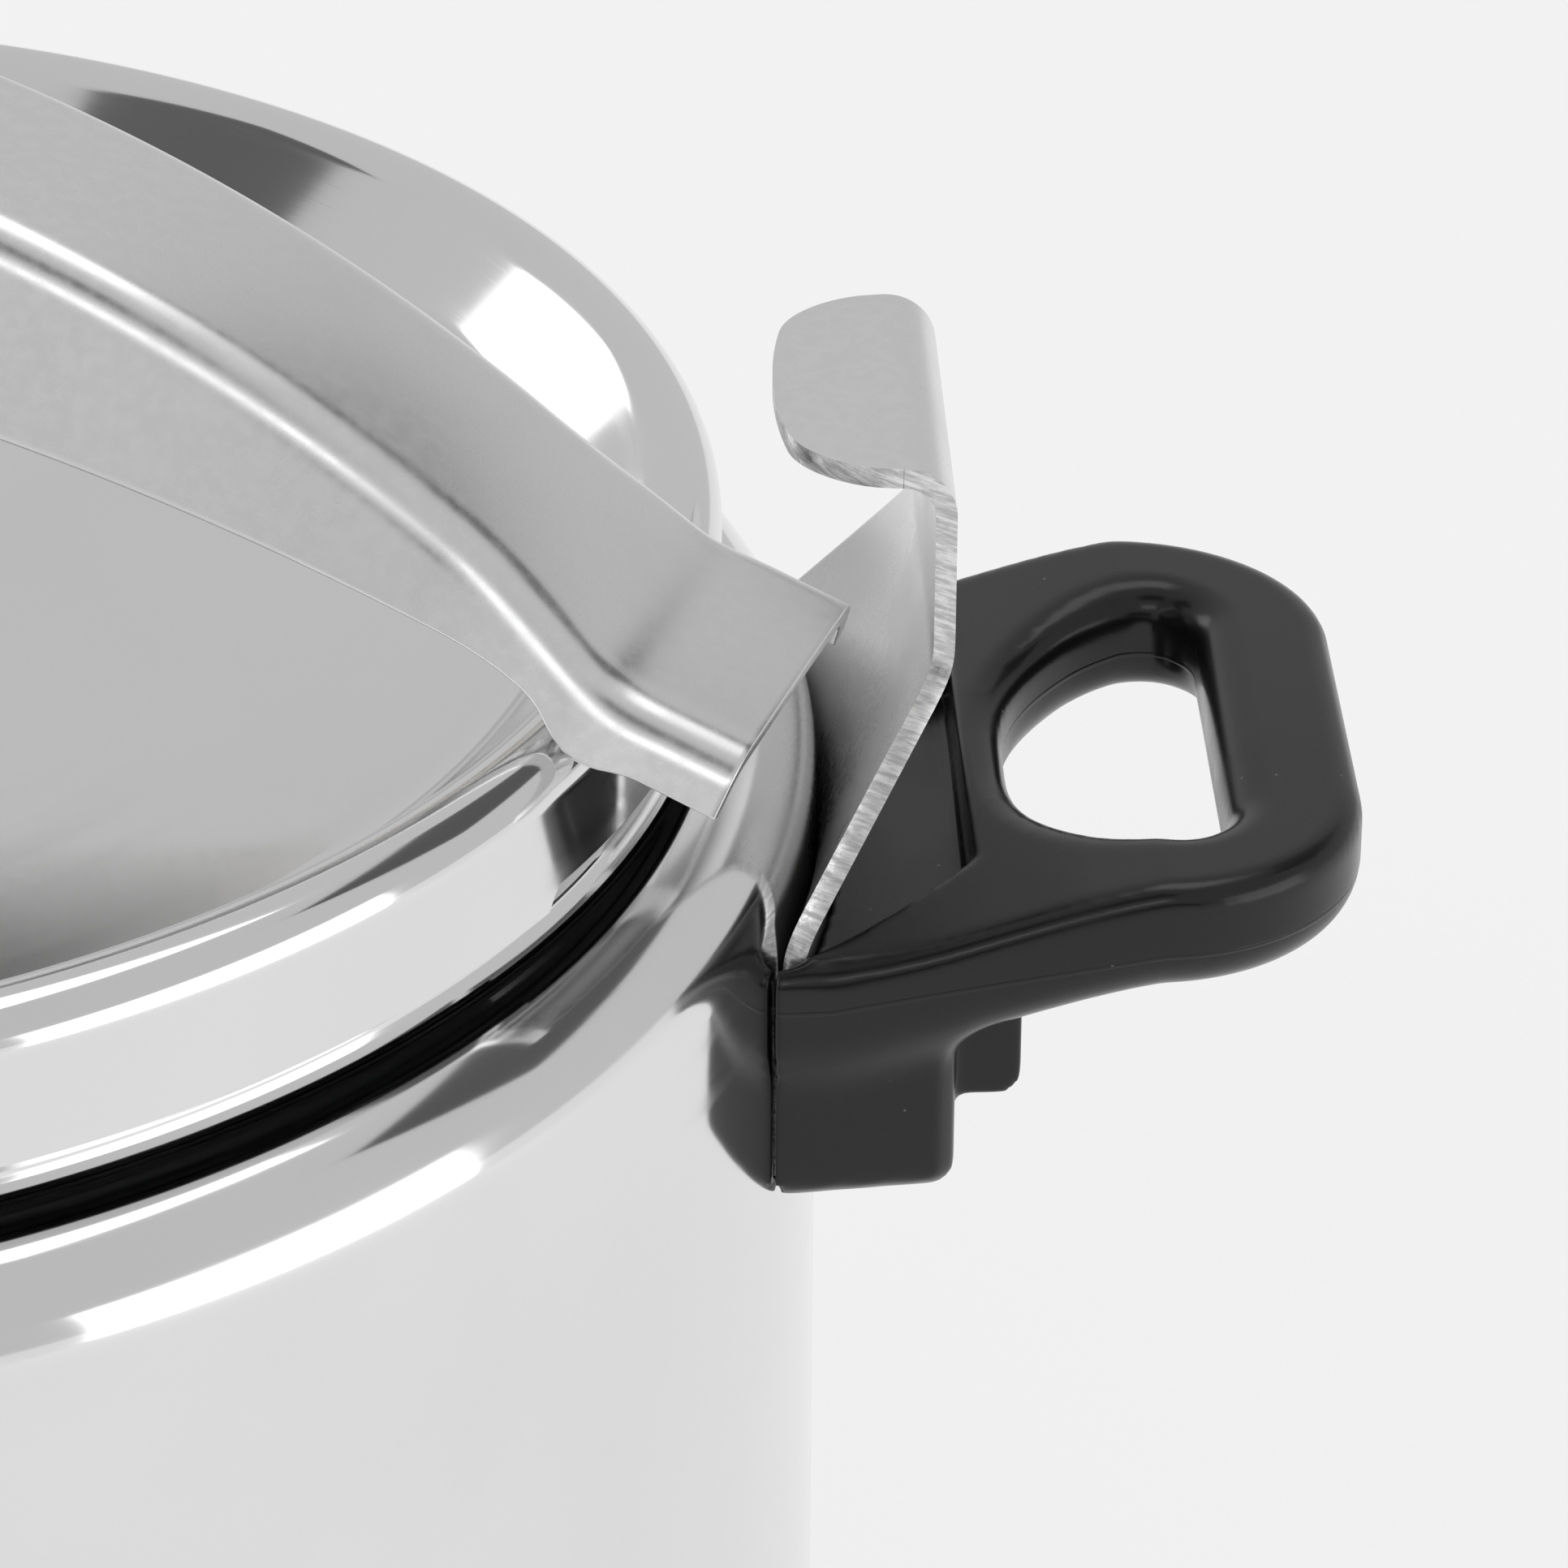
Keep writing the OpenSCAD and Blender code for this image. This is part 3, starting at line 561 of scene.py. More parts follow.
def lid_profile(s, pot, inset):
    """Half section of the lid: skirt, round ridge, sloping side, fillet and flat centre.
    The first two points are the locating lip's edge and the skirt's edge."""
    a = 90 + np.degrees(s.slope)
    rise = s.slope
    skirt = pot.radius - s.inset
    x, z = skirt - s.ridge, pot.seam + s.crest - s.ridge
    flat = pot.seam + s.crest - s.recess
    fillet = 0.006
    r = s.ridge - inset
    top = np.array([x + r * np.cos(np.radians(a)), z + r * np.sin(np.radians(a))])
    low_r, low_z = fillet + inset, flat + fillet
    foot_z = low_z - low_r * np.cos(rise)
    foot_x = top[0] - (top[1] - foot_z) / np.tan(rise)
    low_x = foot_x - low_r * np.sin(rise)
    return path([[skirt - inset, pot.seam - s.lip], [skirt - inset, pot.seam]],
                arc(x, z, r, 0, a, 30),
                arc(low_x, low_z, low_r, np.degrees(rise) - 90, -90, 16),
                [0.0, flat - inset])


class COOKER_OT_lid(bpy.types.Operator):
    """Spin the lid, with a locating lip that stops at each handle"""
    bl_idname = "cooker.lid"
    bl_label = "Lid"

    def execute(self, context):
        s, pot = context.scene.cooker_lid, context.scene.cooker_pot
        outside, inside = lid_profile(s, pot, 0.0), lid_profile(s, pot, s.sheet)
        profile = np.concatenate([outside, inside[::-1]])
        points, faces = turned(profile, 720)
        # The lip's edge rises to the skirt's edge within the gap at each handle
        turn = np.linspace(0, 360, 720, endpoint=False)
        off = np.abs((turn + 90) % 180 - 90)
        shown = np.clip((off - np.degrees(s.gap)) / 0.8 + 0.5, 0, 1)
        for row in (0, len(profile) - 1):
            points[:, row, 2] = pot.seam - 0.0002 - (s.lip - 0.0002) * shown
        piece("lid_sheet", points, faces, "lid", "polished_steel", ["lid_shell"], crease=50.0)
        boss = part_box("lid_boss")
        r, low, top = boss[1].x, boss[0].z, boss[1].z
        profile = path([0.0, low], [r, low], arc(r - 0.0016, top - 0.0012, 0.0012, 0, 90, 8),
                       [0.0, top])
        points, faces = turned(profile, 240)
        piece("lid_centre", points, faces, "lid", "polished_steel", ["lid_boss"])
        finish_cad("lid_seal")
        return {"FINISHED"}


# ---------------------------------------------------------------- brackets

def smooth_rows(rows, width):
    """Rows of a grid averaged with their neighbours by a bell curve, ends held."""
    reach = int(3 * width)
    k = np.exp(-0.5 * (np.arange(-reach, reach + 1) / width) ** 2)
    k /= k.sum()
    padded = np.concatenate([2 * rows[:1] - rows[reach:0:-1], rows,
                             2 * rows[-1:] - rows[-2:-reach - 2:-1]])
    return sum(k[i] * padded[i:i + len(rows)] for i in range(2 * reach + 1))


def bracket_grid(s, pot, handle):
    """Outer face of a bracket as rows up the sheet and columns across it.

    The foot is part of a cylinder on the wall. The web is ruled from the foot's arc to the
    upright's straight line. The upright, bend and hook are flat across; the hook's tip is
    bowed and its corners are rounded."""
    v = np.linspace(-1, 1, 61)[None, :]
    v = 0.45 * v + 0.55 * np.sin(np.pi / 2 * v)
    r = pot.radius + 0.00015 + s.sheet
    out = pot.radius + s.reach
    turn = np.arcsin(s.foot / (pot.radius + s.sheet)) * v
    foot_z = pot.seam - foot_depth(handle)
    web_z = pot.seam - s.foot_top
    z = np.linspace(foot_z, web_z, 40)[:, None]
    foot = np.stack([r * np.cos(turn) + 0 * z, r * np.sin(turn) + 0 * z, z + 0 * turn], -1)
    u = np.linspace(0, 1, 48)[1:, None]
    low = np.stack([r * np.cos(turn), r * np.sin(turn)], -1)
    high = np.stack([out + 0 * v, s.width * v], -1)
    flat = low + (high - low) * u[..., None]
    web = np.concatenate([flat, (web_z + (pot.seam - web_z) * u)[..., None] + 0 * flat[..., :1]],
                         -1)
    top = pot.seam + s.height
    z = np.linspace(pot.seam, top - s.bend, 34)[1:, None]
    upright = np.stack([out + 0 * z + 0 * v, s.width * v + 0 * z, z + 0 * v], -1)
    a = np.radians(np.linspace(0, 90, 15))[1:, None]
    bend = np.stack([out - s.bend * (1 - np.cos(a)) + 0 * v, s.width * v + 0 * a,
                     top - s.bend * (1 - np.sin(a)) + 0 * v], -1)
    rows = smooth_rows(np.concatenate([foot, web, upright]), 3.2)
    # Hook: the tip's line is bowed outwards in the middle, and each corner is rounded
    u = np.linspace(0, 1, 44)[1:, None]
    corner = 0.0082
    past = np.clip((np.abs(v) * s.width - s.width + corner) / corner, 0, 1)
    tip = out - s.depth + 0.0030 * v ** 2 + corner * (1 - np.sqrt(1 - past ** 2))
    hook = np.stack([out - s.bend + (tip - out + s.bend) * u, s.width * v + 0 * u,
                     top + 0 * u * v], -1)
    return np.concatenate([rows, bend, hook])


def foot_depth(handle):
    """Depth of the bracket's lower edge below the seam, just above the block's bottom."""
    return handle.block_bottom - 0.002


class COOKER_OT_brackets(bpy.types.Operator):
    """Press the two hook brackets from sheet, with sheared edges"""
    bl_idname = "cooker.brackets"
    bl_label = "Hook brackets"

    def execute(self, context):
        scene = context.scene
        s, pot = scene.cooker_bracket, scene.cooker_pot
        grid = bracket_grid(s, pot, scene.cooker_handle)
        rows, columns = grid.shape[:2]
        faces = grid_faces(rows, columns)
        edge = sheared_edge()
        for name, turn in (("right", 0.0), ("left", np.pi)):
            points = turn_about_z(grid, turn)
            made = piece(f"bracket_{name}", points, faces, "pot", "satin_steel",
                         [f"hook_bracket_{name}"], weld=False, crease=60.0)
            thicken(made, s.sheet, 0.00022, edge)
        return {"FINISHED"}


# ---------------------------------------------------------------- moulded handles

def box_distance(u, w, half_u, half_w, radii):
    """Distance to a rectangle whose four corners have radii of their own, in the order
    (+u +w), (+u -w), (-u -w), (-u +w). Negative inside."""
    r = np.where(u > 0, np.where(w > 0, radii[0], radii[1]),
                 np.where(w > 0, radii[3], radii[2]))
    du, dw = np.abs(u) - half_u + r, np.abs(w) - half_w + r
    return np.minimum(np.maximum(du, dw), 0) + np.hypot(np.maximum(du, 0),
                                                        np.maximum(dw, 0)) - r


def soft_union(a, b, k):
    """The lower of two distances, blended over k where they are alike."""
    h = np.clip(0.5 + 0.5 * (b - a) / k, 0, 1)
    return b + (a - b) * h - k * h * (1 - h)


def soft_cut(a, b, k):
    """Distance a with the solid of distance b taken away, blended over k."""
    return -soft_union(-a, b, k)


def slab_distance(plan, height, half, top_r, low_r):
    """Distance to a slab with an outline: the longer side of a right triangle whose legs
    are how far past the outline and past the face a point is, less the edge's radius."""
    r = np.where(height > 0, top_r, low_r)
    a, b = plan + r, np.abs(height) - half + r
    return np.minimum(np.maximum(a, b), 0) + np.hypot(np.maximum(a, 0), np.maximum(b, 0)) - r


def round_corner(x, y, end, side, r):
    """Distance in plan to a shape that ends at x = end and y = side, its corner round."""
    a, b = x - end + r, y - side + r
    return np.minimum(np.maximum(a, b), 0) + np.hypot(np.maximum(a, 0), np.maximum(b, 0)) - r


def handle_field(s, pot, bracket, x, y, z):
    """Distance from the moulded handle at each point, negative inside.

    A slab with a round end and round edges rises outwards from the wall. The finger hole is
    taken out of it: round corners outside, and at the root a side whose distance out grows
    with the cube of the distance from the middle. A tapered block stands under it on the
    wall, and two ribs carry the root. The wall, the bracket's slot and foot, and the
    screws' pockets are taken away."""
    y = np.abs(y)
    wall = pot.radius
    end, half = wall + s.reach, s.thick / 2
    knee = end - 0.020
    low, high = pot.seam - s.root_drop, pot.seam - s.drop
    block_x = wall + s.block_depth
    rise = np.clip((x - wall) / (knee - wall), 0, 1)
    middle = low + (high - low) * (rise ** 2 * (3 - 2 * rise) * 0.35 + rise * 0.65)
    slot_x = wall + bracket.reach + 0.0016
    end_corner, hole_corner = 0.0205, 0.0065
    root_bar, root_curve = 0.0046, 0.0125
    outline = round_corner(x, y, end, s.width, end_corner)
    hole_end, hole_side = end - 0.0128, s.width - 0.0124
    part = np.clip(y / hole_side, 0, 1.2)
    root_x = slot_x + root_bar + root_curve * part ** 3
    steep = 3 * root_curve * part ** 2 / hole_side
    hole = -soft_union(-(root_x - x) / np.hypot(1, steep),
                       -round_corner(x, y, hole_end, hole_side, hole_corner), 0.004)
    inner = -hole > outline
    plan = np.maximum(outline, -hole)
    body = slab_distance(plan, z - middle, half, np.where(inner, 0.0040, 0.0024),
                         np.where(inner, 0.0045, 0.0055))
    # Mounting block with a small taper
    bottom, top = pot.seam - s.block_bottom, low + half
    # It starts inside the wall, which cuts it to fit
    buried = 0.008
    taper = 0.0024 * np.clip((x - (wall - buried)) / 0.020, 0, 1)
    bx = (block_x + wall - buried) / 2
    block = box_distance(x - bx, z - (bottom + top) / 2, (block_x - wall + buried) / 2,
                         (top - bottom) / 2, (0.002, 0.0022, 0.0002, 0.0002))
    side = y - (s.width - 0.0005 - taper)
    block = np.maximum(block, side) + 0.0008 * np.exp(-((block - side) / 0.0012) ** 2)
    body = soft_union(body, block, 0.0035)
    rib_low, rib_high = bottom + 0.006, low
    rib_y, rib_half = 0.023, 0.003
    rib = np.maximum(box_distance(x - (block_x + slot_x + 0.0040) / 2,
                                  z - (rib_low + rib_high) / 2,
                                  (slot_x + 0.0060 - block_x) / 2,
                                  (rib_high - rib_low) / 2, (0.002, 0.0026, 0.001, 0.001)),
                     np.abs(y - rib_y) - rib_half)
    body = soft_union(body, rib, 0.0015)
    # Slot round the bracket's web, narrower away from the wall
    edge = bracket.foot + 0.0008
    slope = (edge - bracket.width - 0.002) / (slot_x - wall + 0.004)
    side = (y - edge + slope * np.clip(x - wall + 0.004, 0, 1)) / np.hypot(1, slope)
    slot = np.maximum(np.maximum(x - slot_x, side), pot.seam - 0.024 - z)
    body = soft_cut(body, slot, 0.0012)
    radius = np.hypot(x, y)
    foot = np.maximum(radius - wall - bracket.sheet - 0.0003,
                      np.abs(np.arctan2(y, x)) * radius - bracket.foot - 0.0005)
    foot = np.maximum(foot, pot.seam - foot_depth(s) - 0.0002 - z)
    body = np.maximum(body, -foot)
    body = np.maximum(body, wall + 0.0002 - radius)
    # Screws: a sunk seat outside, a clear hole, and room for the weld boss at the wall
    screw_y, screw_z = 0.014, bottom + 0.0089
    head_r, shank_r, boss_r = 0.0052, 0.0027, 0.00485
    pocket = np.hypot(y - screw_y, z - screw_z)
    body = soft_cut(body, np.maximum(pocket - head_r, block_x - 0.004 - x), 0.0006)
    body = np.maximum(body, shank_r - pocket)
    boss = np.maximum(pocket - boss_r, x - wall - 0.00415)
    return np.maximum(body, -boss)


def net_surface(field, origin, cell):
    """Quads round the zero level of a distance on a grid of cells: one point in each cell
    that the surface crosses, at the mean of the crossings of that cell's edges, and one
    quad round each edge of the grid that the surface crosses."""
    inside = field < 0
    shape = np.array(field.shape) - 1
    total = np.zeros((*shape, 3))
    count = np.zeros(shape)
    corners = [(i, j, k) for i in (0, 1) for j in (0, 1) for k in (0, 1)]

    def part(a, i, j, k):
        return a[i:i + shape[0], j:j + shape[1], k:k + shape[2]]

    for p in corners:
        for axis in range(3):
            if p[axis]:
                continue
            q = tuple(p[n] + (n == axis) for n in range(3))
            a, b = part(field, *p), part(field, *q)
            cross = (a < 0) != (b < 0)
            t = np.where(cross, a / np.where(cross, a - b, 1), 0)
            for n in range(3):
                total[..., n] += np.where(cross, p[n] + (t if n == axis else 0), 0)
            count += cross
    used = count > 0
    index = np.full(tuple(shape), -1)
    index[used] = np.arange(used.sum())
    place = np.argwhere(used) + total[used] / count[used][:, None]
    points = np.asarray(origin) + place * cell
    faces = []
    for axis in range(3):
        b, c = (axis + 1) % 3, (axis + 2) % 3
        lower = [slice(0, -1)] * 3
        upper = [slice(0, -1)] * 3
        for n in (b, c):
            lower[n] = upper[n] = slice(1, -1)
        upper[axis] = slice(1, None)
        one, two = inside[tuple(lower)], inside[tuple(upper)]
        at = np.argwhere(one != two)
        out = one[tuple(at.T)]
        at = at + np.array([0 if n == axis else 1 for n in range(3)])
        step_b, step_c = np.eye(3, dtype=int)[b], np.eye(3, dtype=int)[c]
        ring = [at, at - step_b, at - step_b - step_c, at - step_c]
        quads = np.stack([index[tuple(p.T)] for p in ring], -1)
        quads[~out] = quads[~out][:, ::-1]
        faces.append(quads)
    return points, np.concatenate(faces)


class COOKER_OT_handles(bpy.types.Operator):
    """Mould the two side handles"""
    bl_idname = "cooker.handles"
    bl_label = "Side handles"

    def execute(self, context):
        scene = context.scene
        s, pot, bracket = scene.cooker_handle, scene.cooker_pot, scene.cooker_bracket
        low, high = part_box("side_handle_right")
        low, high = np.array(low) - 0.002, np.array(high) + 0.002
        axes = [np.arange(low[n], high[n], s.cell) for n in range(3)]
        x, y, z = np.meshgrid(*axes, indexing="ij")
        field = handle_field(s, pot, bracket, x, y, z)
        points, faces = net_surface(field, low, s.cell)
        wall = pot.seam - s.root_drop + 0.0022
        line_at = (wall, pot.seam - s.drop - 0.001, pot.radius + s.reach - 0.020)
        material = black_phenolic("handle_phenolic", line_at)
        for name, turn in (("right", 0.0), ("left", np.pi)):
            made = piece(f"handle_{name}", turn_about_z(points, turn), faces, "pot",
                         "black_phenolic", [f"side_handle_{name}"], weld=False, crease=180.0)
            made.data.materials.clear()
            made.data.materials.append(material)
            ease = made.modifiers.new("Ease", "SMOOTH")
            ease.factor = 0.5
            ease.iterations = 5
        return {"FINISHED"}


# ---------------------------------------------------------------- clamp bar

def bar_grid(s, pot):
    """Outer face of the pressed bar as rows along it and columns across it.

    Along: an arch, then a tongue that slopes less steeply. Across: a flat top, a round edge
    and a flared side. The side's depth is worked out so that its lower edge lies on the
    belly's circle, and at the tongue the section eases to a wider, flatter one."""
    crown = pot.seam + s.crown
    arch_z, belly_z = crown - s.arch, crown - s.depth - s.belly
    root_z = pot.seam + s.tongue_root
    last = np.arccos((root_z - arch_z) / s.arch)
    a = np.linspace(0, last, 150)
    arch = np.stack([s.arch * np.sin(a), arch_z + s.arch * np.cos(a)], -1)
    step = s.arch * last / 149
    long = (s.tongue_end - arch[-1, 0]) / np.cos(s.tongue_slope)
    t = np.arange(1, int(long / step) + 1)[:, None] * step
    t = np.concatenate([t, [[long]]]) if t[-1, 0] < long else t
    tongue = arch[-1] + t * np.array([np.cos(s.tongue_slope), -np.sin(s.tongue_slope)])
    half = smooth_rows(np.concatenate([arch, tongue]), 2.2)
    line_x = np.concatenate([-half[:0:-1, 0], half[:, 0]])
    line_z = np.concatenate([half[:0:-1, 1], half[:, 1]])
    dx, dz = np.gradient(line_x), np.gradient(line_z)
    size = np.hypot(dx, dz)
    normal = np.stack([-dz / size, dx / size], -1)
    tilt = np.arctan2(normal[:, 0], normal[:, 1])
    # Depth to the belly's circle along the normal, eased to the tongue's
    rise = belly_z - arch_z
    deep = s.arch - (rise * np.cos(tilt) + np.sqrt(s.belly ** 2 - (rise * np.sin(tilt)) ** 2))
    over = np.clip((np.abs(line_x) - 0.098) / 0.020, 0, 1)
    over = over * over * (3 - 2 * over)
    deep = np.maximum(deep, 0.0046) * (1 - over) + 0.0052 * over
    lean = np.radians(70.7 + (62 - 70.7) * over)
    flat = 0.0100 + 0.0032 * over
    edge = 0.0050 + 0.0002 * over
    v = np.linspace(0, 1, 46)
    top_part = np.clip(v / 0.35, 0, 1)
    turn_part = np.clip((v - 0.35) / 0.30, 0, 1)
    side_part = np.clip((v - 0.65) / 0.35, 0, 1)
    turn = lean[:, None] * turn_part
    full_drop = edge * (1 - np.cos(lean))
    side_len = np.clip((deep - full_drop) / np.sin(lean), 0.0002, None)
    y = (flat[:, None] * top_part + edge[:, None] * np.sin(turn)
         + (side_len * np.cos(lean))[:, None] * side_part)
    drop = (edge[:, None] * (1 - np.cos(turn))
            + (side_len * np.sin(lean))[:, None] * side_part)
    # The pressed top is very slightly crowned across
    drop = drop + 0.00035 * (np.clip(np.abs(y) / 0.012, 0, 1) ** 2)
    y = np.concatenate([-y[:, :0:-1], y], 1)
    drop = np.concatenate([drop[:, :0:-1], drop], 1)
    x = line_x[:, None] - normal[:, :1] * drop
    z = line_z[:, None] - normal[:, 1:] * drop
    return np.stack([x, y, z], -1)


class COOKER_OT_bar(bpy.types.Operator):
    """Press the arched clamp bar with its two tongues"""
    bl_idname = "cooker.bar"
    bl_label = "Clamp bar"

    def execute(self, context):
        s, pot = context.scene.cooker_bar, context.scene.cooker_pot
        grid = turn_about_z(bar_grid(s, pot), -s.swing)
        rows, columns = grid.shape[:2]
        made = piece("bar_channel", grid, grid_faces(rows, columns)[:, ::-1], "bar",
                     "satin_steel", ["clamp_bar"], weld=False, crease=70.0)
        thicken(made, s.sheet, 0.0004, finish_for("satin_edge"))
        finish_cad("bar_bush", "bush_rivets", "pressure_pad", "pad_clip")
        return {"FINISHED"}


# ---------------------------------------------------------------- knob and spindle

def knob_grid(s, base, cap_r):
    """Lobed knob: a profile carried round, whose radius swells at each lobe.
    radius = profile (1 + share of the lobe's cosine), and the share fades at neck and cap."""
    r, h = s.radius, s.height
    # (share of the full radius, height, share of the lobes)
    outline = np.array([
        (0.41, 0.0, 0.0), (0.45, 0.01, 0.0), (0.47, 0.03, 0.0), (0.50, 0.18, 0.0),
        (0.60, 0.25, 0.3), (0.80, 0.29, 0.9), (0.93, 0.33, 1.0), (0.985, 0.40, 1.0),
        (1.0, 0.52, 1.0), (0.995, 0.66, 1.0), (0.96, 0.80, 1.0), (0.88, 0.90, 0.9),
        (0.74, 0.965, 0.6), (0.58, 0.995, 0.25), (0.46, 1.0, 0.05), (0.42, 0.995, 0.0),
        (cap_r / r + 0.004, 0.985, 0.0), (cap_r / r, 0.95, 0.0), (cap_r / r, 0.87, 0.0)])
    at = np.concatenate([[0], np.cumsum(np.hypot(*np.diff(outline[:, :2], axis=0).T))])
    t = np.linspace(0, at[-1], 160)
    share, height, lobe = [np.interp(t, at, outline[:, n]) for n in range(3)]
    k = np.exp(-0.5 * (np.arange(-6, 7) / 2.6) ** 2)
    k /= k.sum()
    share, height, lobe = [np.convolve(np.pad(a, 6, "edge"), k, "valid")
                           for a in (share, height, lobe)]
    turn = np.linspace(0, 2 * np.pi, 288, endpoint=False)[:, None]
    wave = np.abs(np.cos(s.lobes * turn / 2)) ** 1.4
    radius = r * share * (1 - 0.17 * lobe * (1 - wave))
    return np.stack([radius * np.cos(turn), radius * np.sin(turn),
                     base + h * height + 0 * turn], -1)


def thread_grid(r, low, high, pitch, depth=0.0009):
    """Threaded rod: radius = r - depth times a trapezoid of (height / pitch - turn / 2 pi),
    and the ends are chamfered."""
    turn = np.linspace(0, 2 * np.pi, 96, endpoint=False)[:, None]
    z = np.linspace(low, high, int((high - low) / pitch * 16))[None, :]
    phase = np.mod(z / pitch - turn / (2 * np.pi), 1)
    cut = np.clip(2.2 * (1 - np.abs(2 * phase - 1)) - 0.6, 0, 1)
    ends = np.clip(np.minimum(z - low, high - z) / 0.0015, 0, 1)
    radius = (r - depth * cut * ends) - 0.0012 * (1 - ends)
    points = np.stack([radius * np.cos(turn), radius * np.sin(turn), z + 0 * turn], -1)
    cap_low = np.stack([0 * turn[:, 0], 0 * turn[:, 0], low + 0 * turn[:, 0]], -1)
    cap_high = cap_low + [0, 0, high - low]
    return np.concatenate([cap_low[:, None], points, cap_high[:, None]], 1)


class COOKER_OT_knob(bpy.types.Operator):
    """Turn the threaded spindle and mould the lobed knob on it"""
    bl_idname = "cooker.knob"
    bl_label = "Knob and spindle"

    def execute(self, context):
        s = context.scene.cooker_knob
        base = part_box("clamp_knob")[0].z
        cap_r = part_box("knob_cap")[1].x + 0.00015
        grid = knob_grid(s, base, cap_r)
        rows, columns = grid.shape[:2]
        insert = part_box("knob_insert")[1].x + 0.0001
        low = np.stack([insert * grid[:, 0, 0] / np.hypot(grid[:, 0, 0], grid[:, 0, 1]),
                        insert * grid[:, 0, 1] / np.hypot(grid[:, 0, 0], grid[:, 0, 1]),
                        grid[:, 0, 2]], -1)[:, None]
        high = low + [0, 0, grid[0, -1, 2] - base]
        grid = np.concatenate([low, grid, high], 1)
        faces = grid_faces(rows, columns + 2, wrap_rows=True, wrap_columns=True)
        piece("knob_moulding", grid, faces, "screw", "black_phenolic", ["clamp_knob"],
              crease=60.0)
        low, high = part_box("spindle")
        grid = thread_grid(high.x, low.z, high.z, s.pitch)
        rows, columns = grid.shape[:2]
        piece("threaded_spindle", grid, grid_faces(rows, columns, wrap_rows=True), "screw",
              "steel_fixings", ["spindle"], crease=50.0)
        finish_cad("knob_insert", "knob_pin", "knob_cap")
        return {"FINISHED"}


class COOKER_OT_valves(bpy.types.Operator):
    """Finish the regulating valve and the safety valve"""
    bl_idname = "cooker.valves"
    bl_label = "Valves"

    def execute(self, context):
        finish_cad("valve_nozzle", "valve_nut", "valve_washer", "valve_weight", "weight_cap",
                   "safety_housing", "safety_nut", "safety_washer", "safety_plunger",
                   "safety_spring", "safety_cap")
        return {"FINISHED"}


# ---------------------------------------------------------------- stage

def panel_light(name, at, toward, size, power):
    """A rectangular softbox at a point, facing another."""
    data = bpy.data.lights.new(name, "AREA")
    data.shape = "RECTANGLE"
    data.size, data.size_y = size
    data.energy = power
    made = bpy.data.objects.new(name, data)
    made.location = at
    made.rotation_euler = (Vector(toward) - Vector(at)).to_track_quat("-Z", "Y").to_euler()
    made.visible_camera = False
    bpy.context.scene.collection.objects.link(made)
    return made


def card(name, at, toward, size, shade):
    """A flat card that only shows in reflections."""
    mesh = bpy.data.meshes.new(name)
    w, h = size[0] / 2, size[1] / 2
    mesh.from_pydata([(-w, -h, 0), (w, -h, 0), (w, h, 0), (-w, h, 0)], [], [(0, 1, 2, 3)])
    made = bpy.data.objects.new(name, mesh)
    made.location = at
    made.rotation_euler = (Vector(toward) - Vector(at)).to_track_quat("Z", "Y").to_euler()
    made.visible_camera = False
    made.visible_shadow = False
    made.visible_diffuse = False
    bpy.context.scene.collection.objects.link(made)
    f = Finish(name, (shade, shade, shade), 0.0, 1.0, Specular_IOR_Level=0.0)
    mesh.materials.append(f.material)
    return made


def around(turn, height, distance):
    """A point by its turn from +Y towards +X, its height angle and its distance."""
    turn, height = np.radians(turn), np.radians(height)
    return Vector((0.05 + distance * np.sin(turn) * np.cos(height),
                   distance * np.cos(turn) * np.cos(height),
                   0.19 + distance * np.sin(height)))


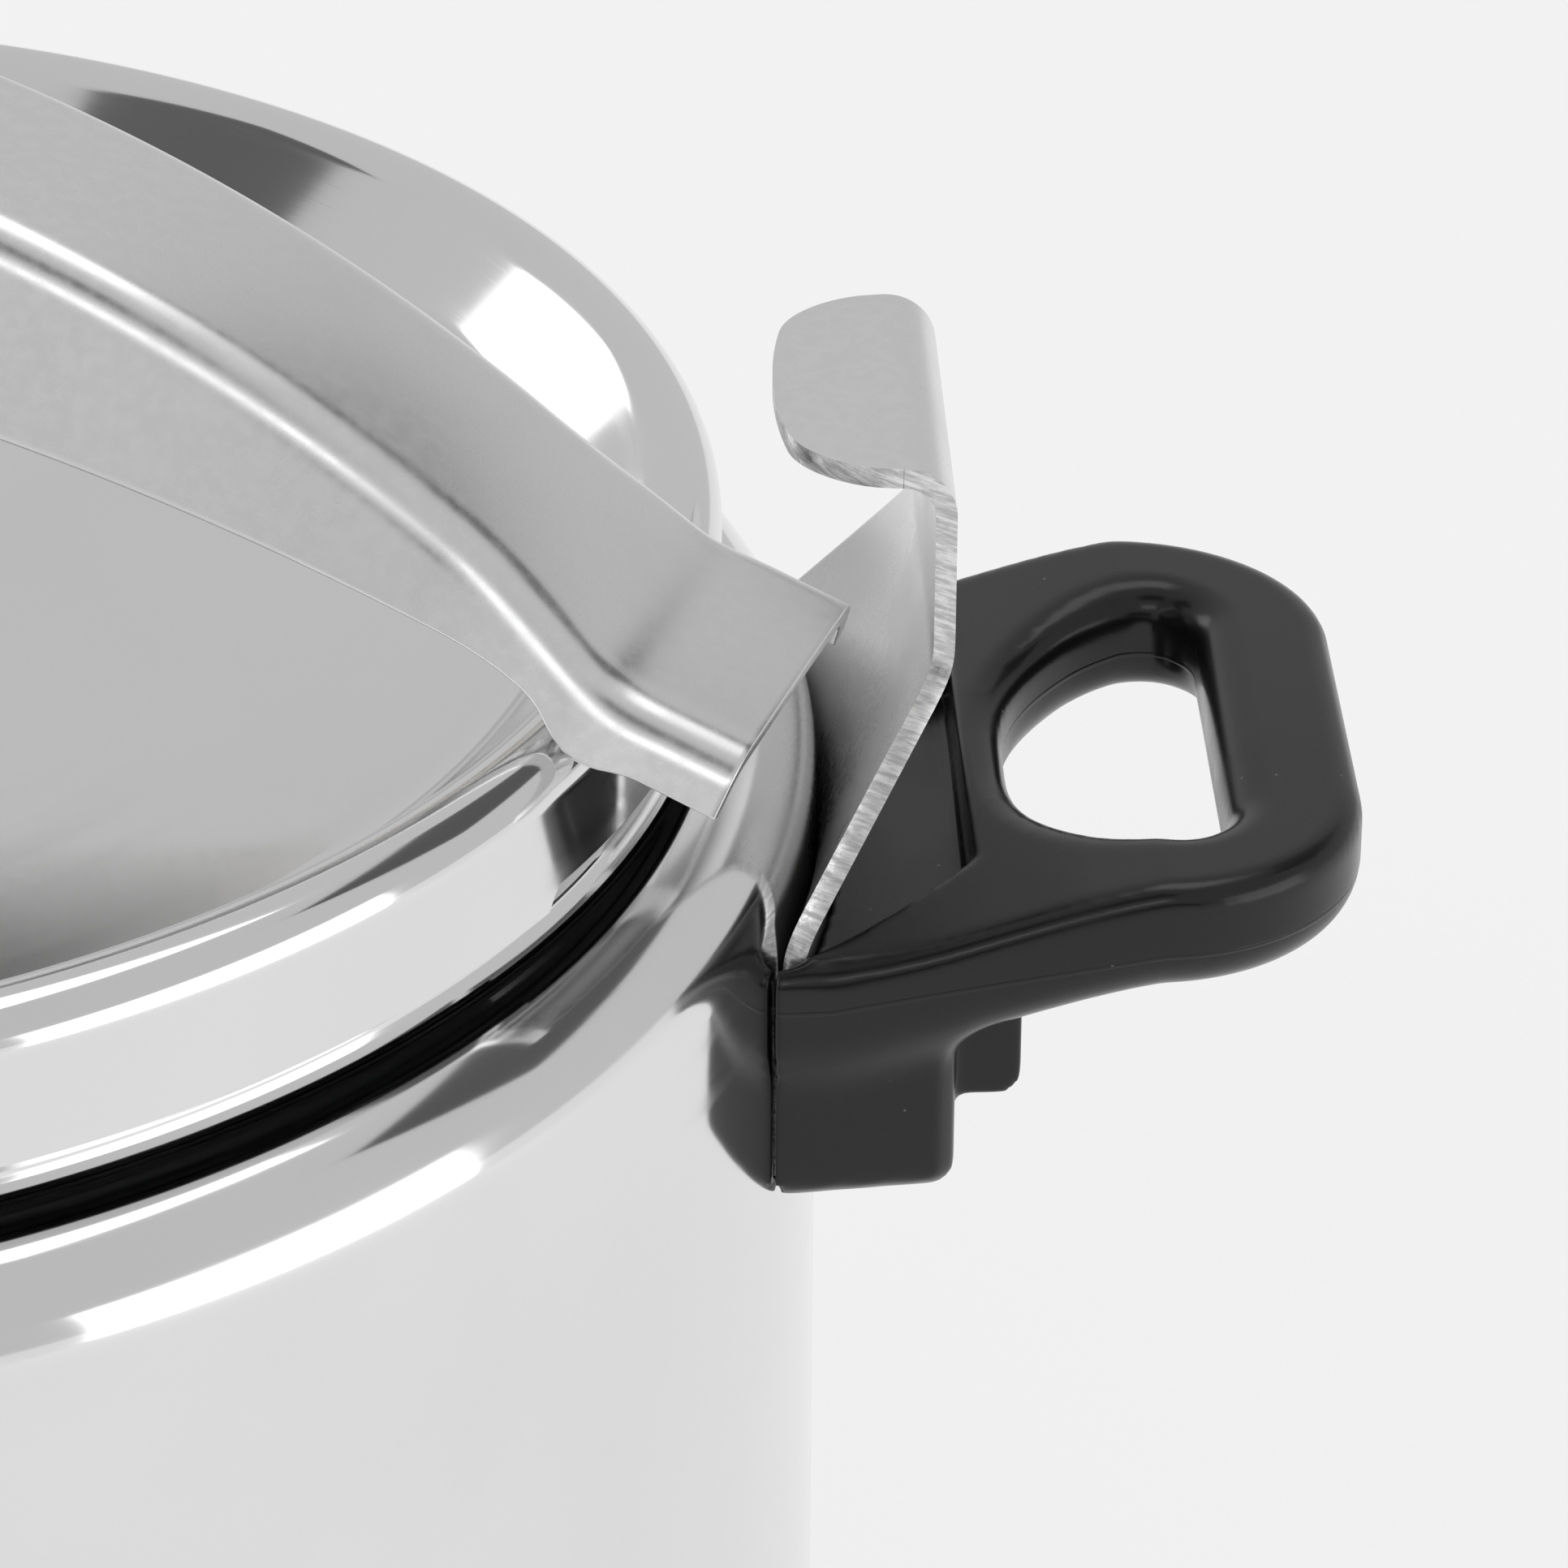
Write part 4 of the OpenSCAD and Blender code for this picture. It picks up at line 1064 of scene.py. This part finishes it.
class COOKER_OT_stage(bpy.types.Operator):
    """Set the floor, the soft lights and the camera"""
    bl_idname = "cooker.stage"
    bl_label = "Stage"

    def execute(self, context):
        scene = context.scene
        c = scene.cooker_finish.floor
        mesh = bpy.data.meshes.new("floor")
        mesh.from_pydata([(-6, -6, 0), (6, -6, 0), (6, 6, 0), (-6, 6, 0)], [], [(0, 1, 2, 3)])
        floor = bpy.data.objects.new("floor", mesh)
        scene.collection.objects.link(floor)
        f = Finish("floor", c, 0.0, 0.9, Specular_IOR_Level=0.0)
        f.set("Emission Color", (1.0, 1.0, 1.0, 1.0))
        f.set("Emission Strength", 0.66)
        mesh.materials.append(f.material)
        world = bpy.data.worlds.new("studio")
        scene.world = world
        world.use_nodes = True
        back = world.node_tree.nodes["Background"]
        back.inputs["Color"].default_value = (1.0, 1.0, 1.0, 1.0)
        back.inputs["Strength"].default_value = 0.62
        seam = Vector((0.05, 0.0, 0.19))
        panel_light("overhead", around(20, 72, 1.6), seam, (0.9, 0.6), 2.4)
        panel_light("left_box", around(-112, 18, 1.6), seam, (0.8, 0.9), 2.8)
        panel_light("right_box", around(118, 3, 0.95), seam, (0.66, 0.46), 1.2)
        panel_light("front_box", around(-170, 36, 1.7), seam, (0.9, 0.30), 1.3)
        panel_light("far_box", around(-45, 17, 1.8), seam, (0.8, 0.5), 1.4)
        card("dark_right", around(60, 42, 1.4), seam, (0.80, 0.50), 0.12)
        card("dark_left", around(-84, 46, 1.5), seam, (0.75, 0.36), 0.14)
        card("dark_front", around(172, 11, 1.7), seam, (1.3, 0.3), 0.05)
        card("dark_above", around(-160, 64, 1.6), seam, (1.2, 0.4), 0.10)
        heading, tip, roll = np.radians([2.355, 28.924, 0.421])
        ahead = Vector((np.sin(heading) * np.cos(tip), np.cos(heading) * np.cos(tip),
                        -np.sin(tip)))
        right = Vector((np.cos(heading), -np.sin(heading), 0.0))
        up = right.cross(ahead)
        right, up = (right * np.cos(roll) + up * np.sin(roll),
                     up * np.cos(roll) - right * np.sin(roll))
        lens = bpy.data.cameras.new("camera")
        lens.sensor_width = 36.0
        lens.lens = 176.41
        lens.clip_start, lens.clip_end = 0.05, 50.0
        camera = bpy.data.objects.new("camera", lens)
        camera.matrix_world = Matrix.Translation((0.09123, -0.64913, 0.51675)) @ Matrix(
            (right, up, -ahead)).transposed().to_4x4()
        scene.collection.objects.link(camera)
        scene.camera = camera
        scene.view_settings.view_transform = "Standard"
        return {"FINISHED"}


# ---------------------------------------------------------------- sidebar and running

class COOKER_PT_sidebar(bpy.types.Panel):
    """Lists the cooker's sizes and the buttons that build it"""
    bl_idname = "COOKER_PT_sidebar"
    bl_label = "Pressure Cooker"
    bl_space_type = "VIEW_3D"
    bl_region_type = "UI"
    bl_category = "Cooker"

    def draw(self, context):
        layout = self.layout
        for name in GROUPS:
            group = getattr(context.scene, name)
            box = layout.box()
            box.label(text=name.replace("cooker_", "").capitalize())
            for key in group.__annotations__:
                box.prop(group, key)
        for operator in OPERATORS:
            layout.operator(operator.bl_idname)


GROUPS = {"cooker_pot": PotSizes, "cooker_lid": LidSizes, "cooker_bar": BarSizes,
          "cooker_bracket": BracketSizes, "cooker_handle": HandleSizes,
          "cooker_knob": KnobSizes, "cooker_finish": Finishes}
OPERATORS = (COOKER_OT_stage, COOKER_OT_pot, COOKER_OT_lid, COOKER_OT_brackets,
             COOKER_OT_handles, COOKER_OT_bar, COOKER_OT_knob, COOKER_OT_valves)
CLASSES = (*GROUPS.values(), *OPERATORS, COOKER_PT_sidebar)


def register():
    for cls in CLASSES:
        bpy.utils.register_class(cls)
    for name, group in GROUPS.items():
        setattr(bpy.types.Scene, name, PointerProperty(type=group))


def unregister():
    for name in GROUPS:
        delattr(bpy.types.Scene, name)
    for cls in reversed(CLASSES):
        bpy.utils.unregister_class(cls)


def main():
    register()
    for operator in OPERATORS:
        group, name = operator.bl_idname.split(".")
        getattr(getattr(bpy.ops, group), name)()


if __name__ == "__main__":
    main()
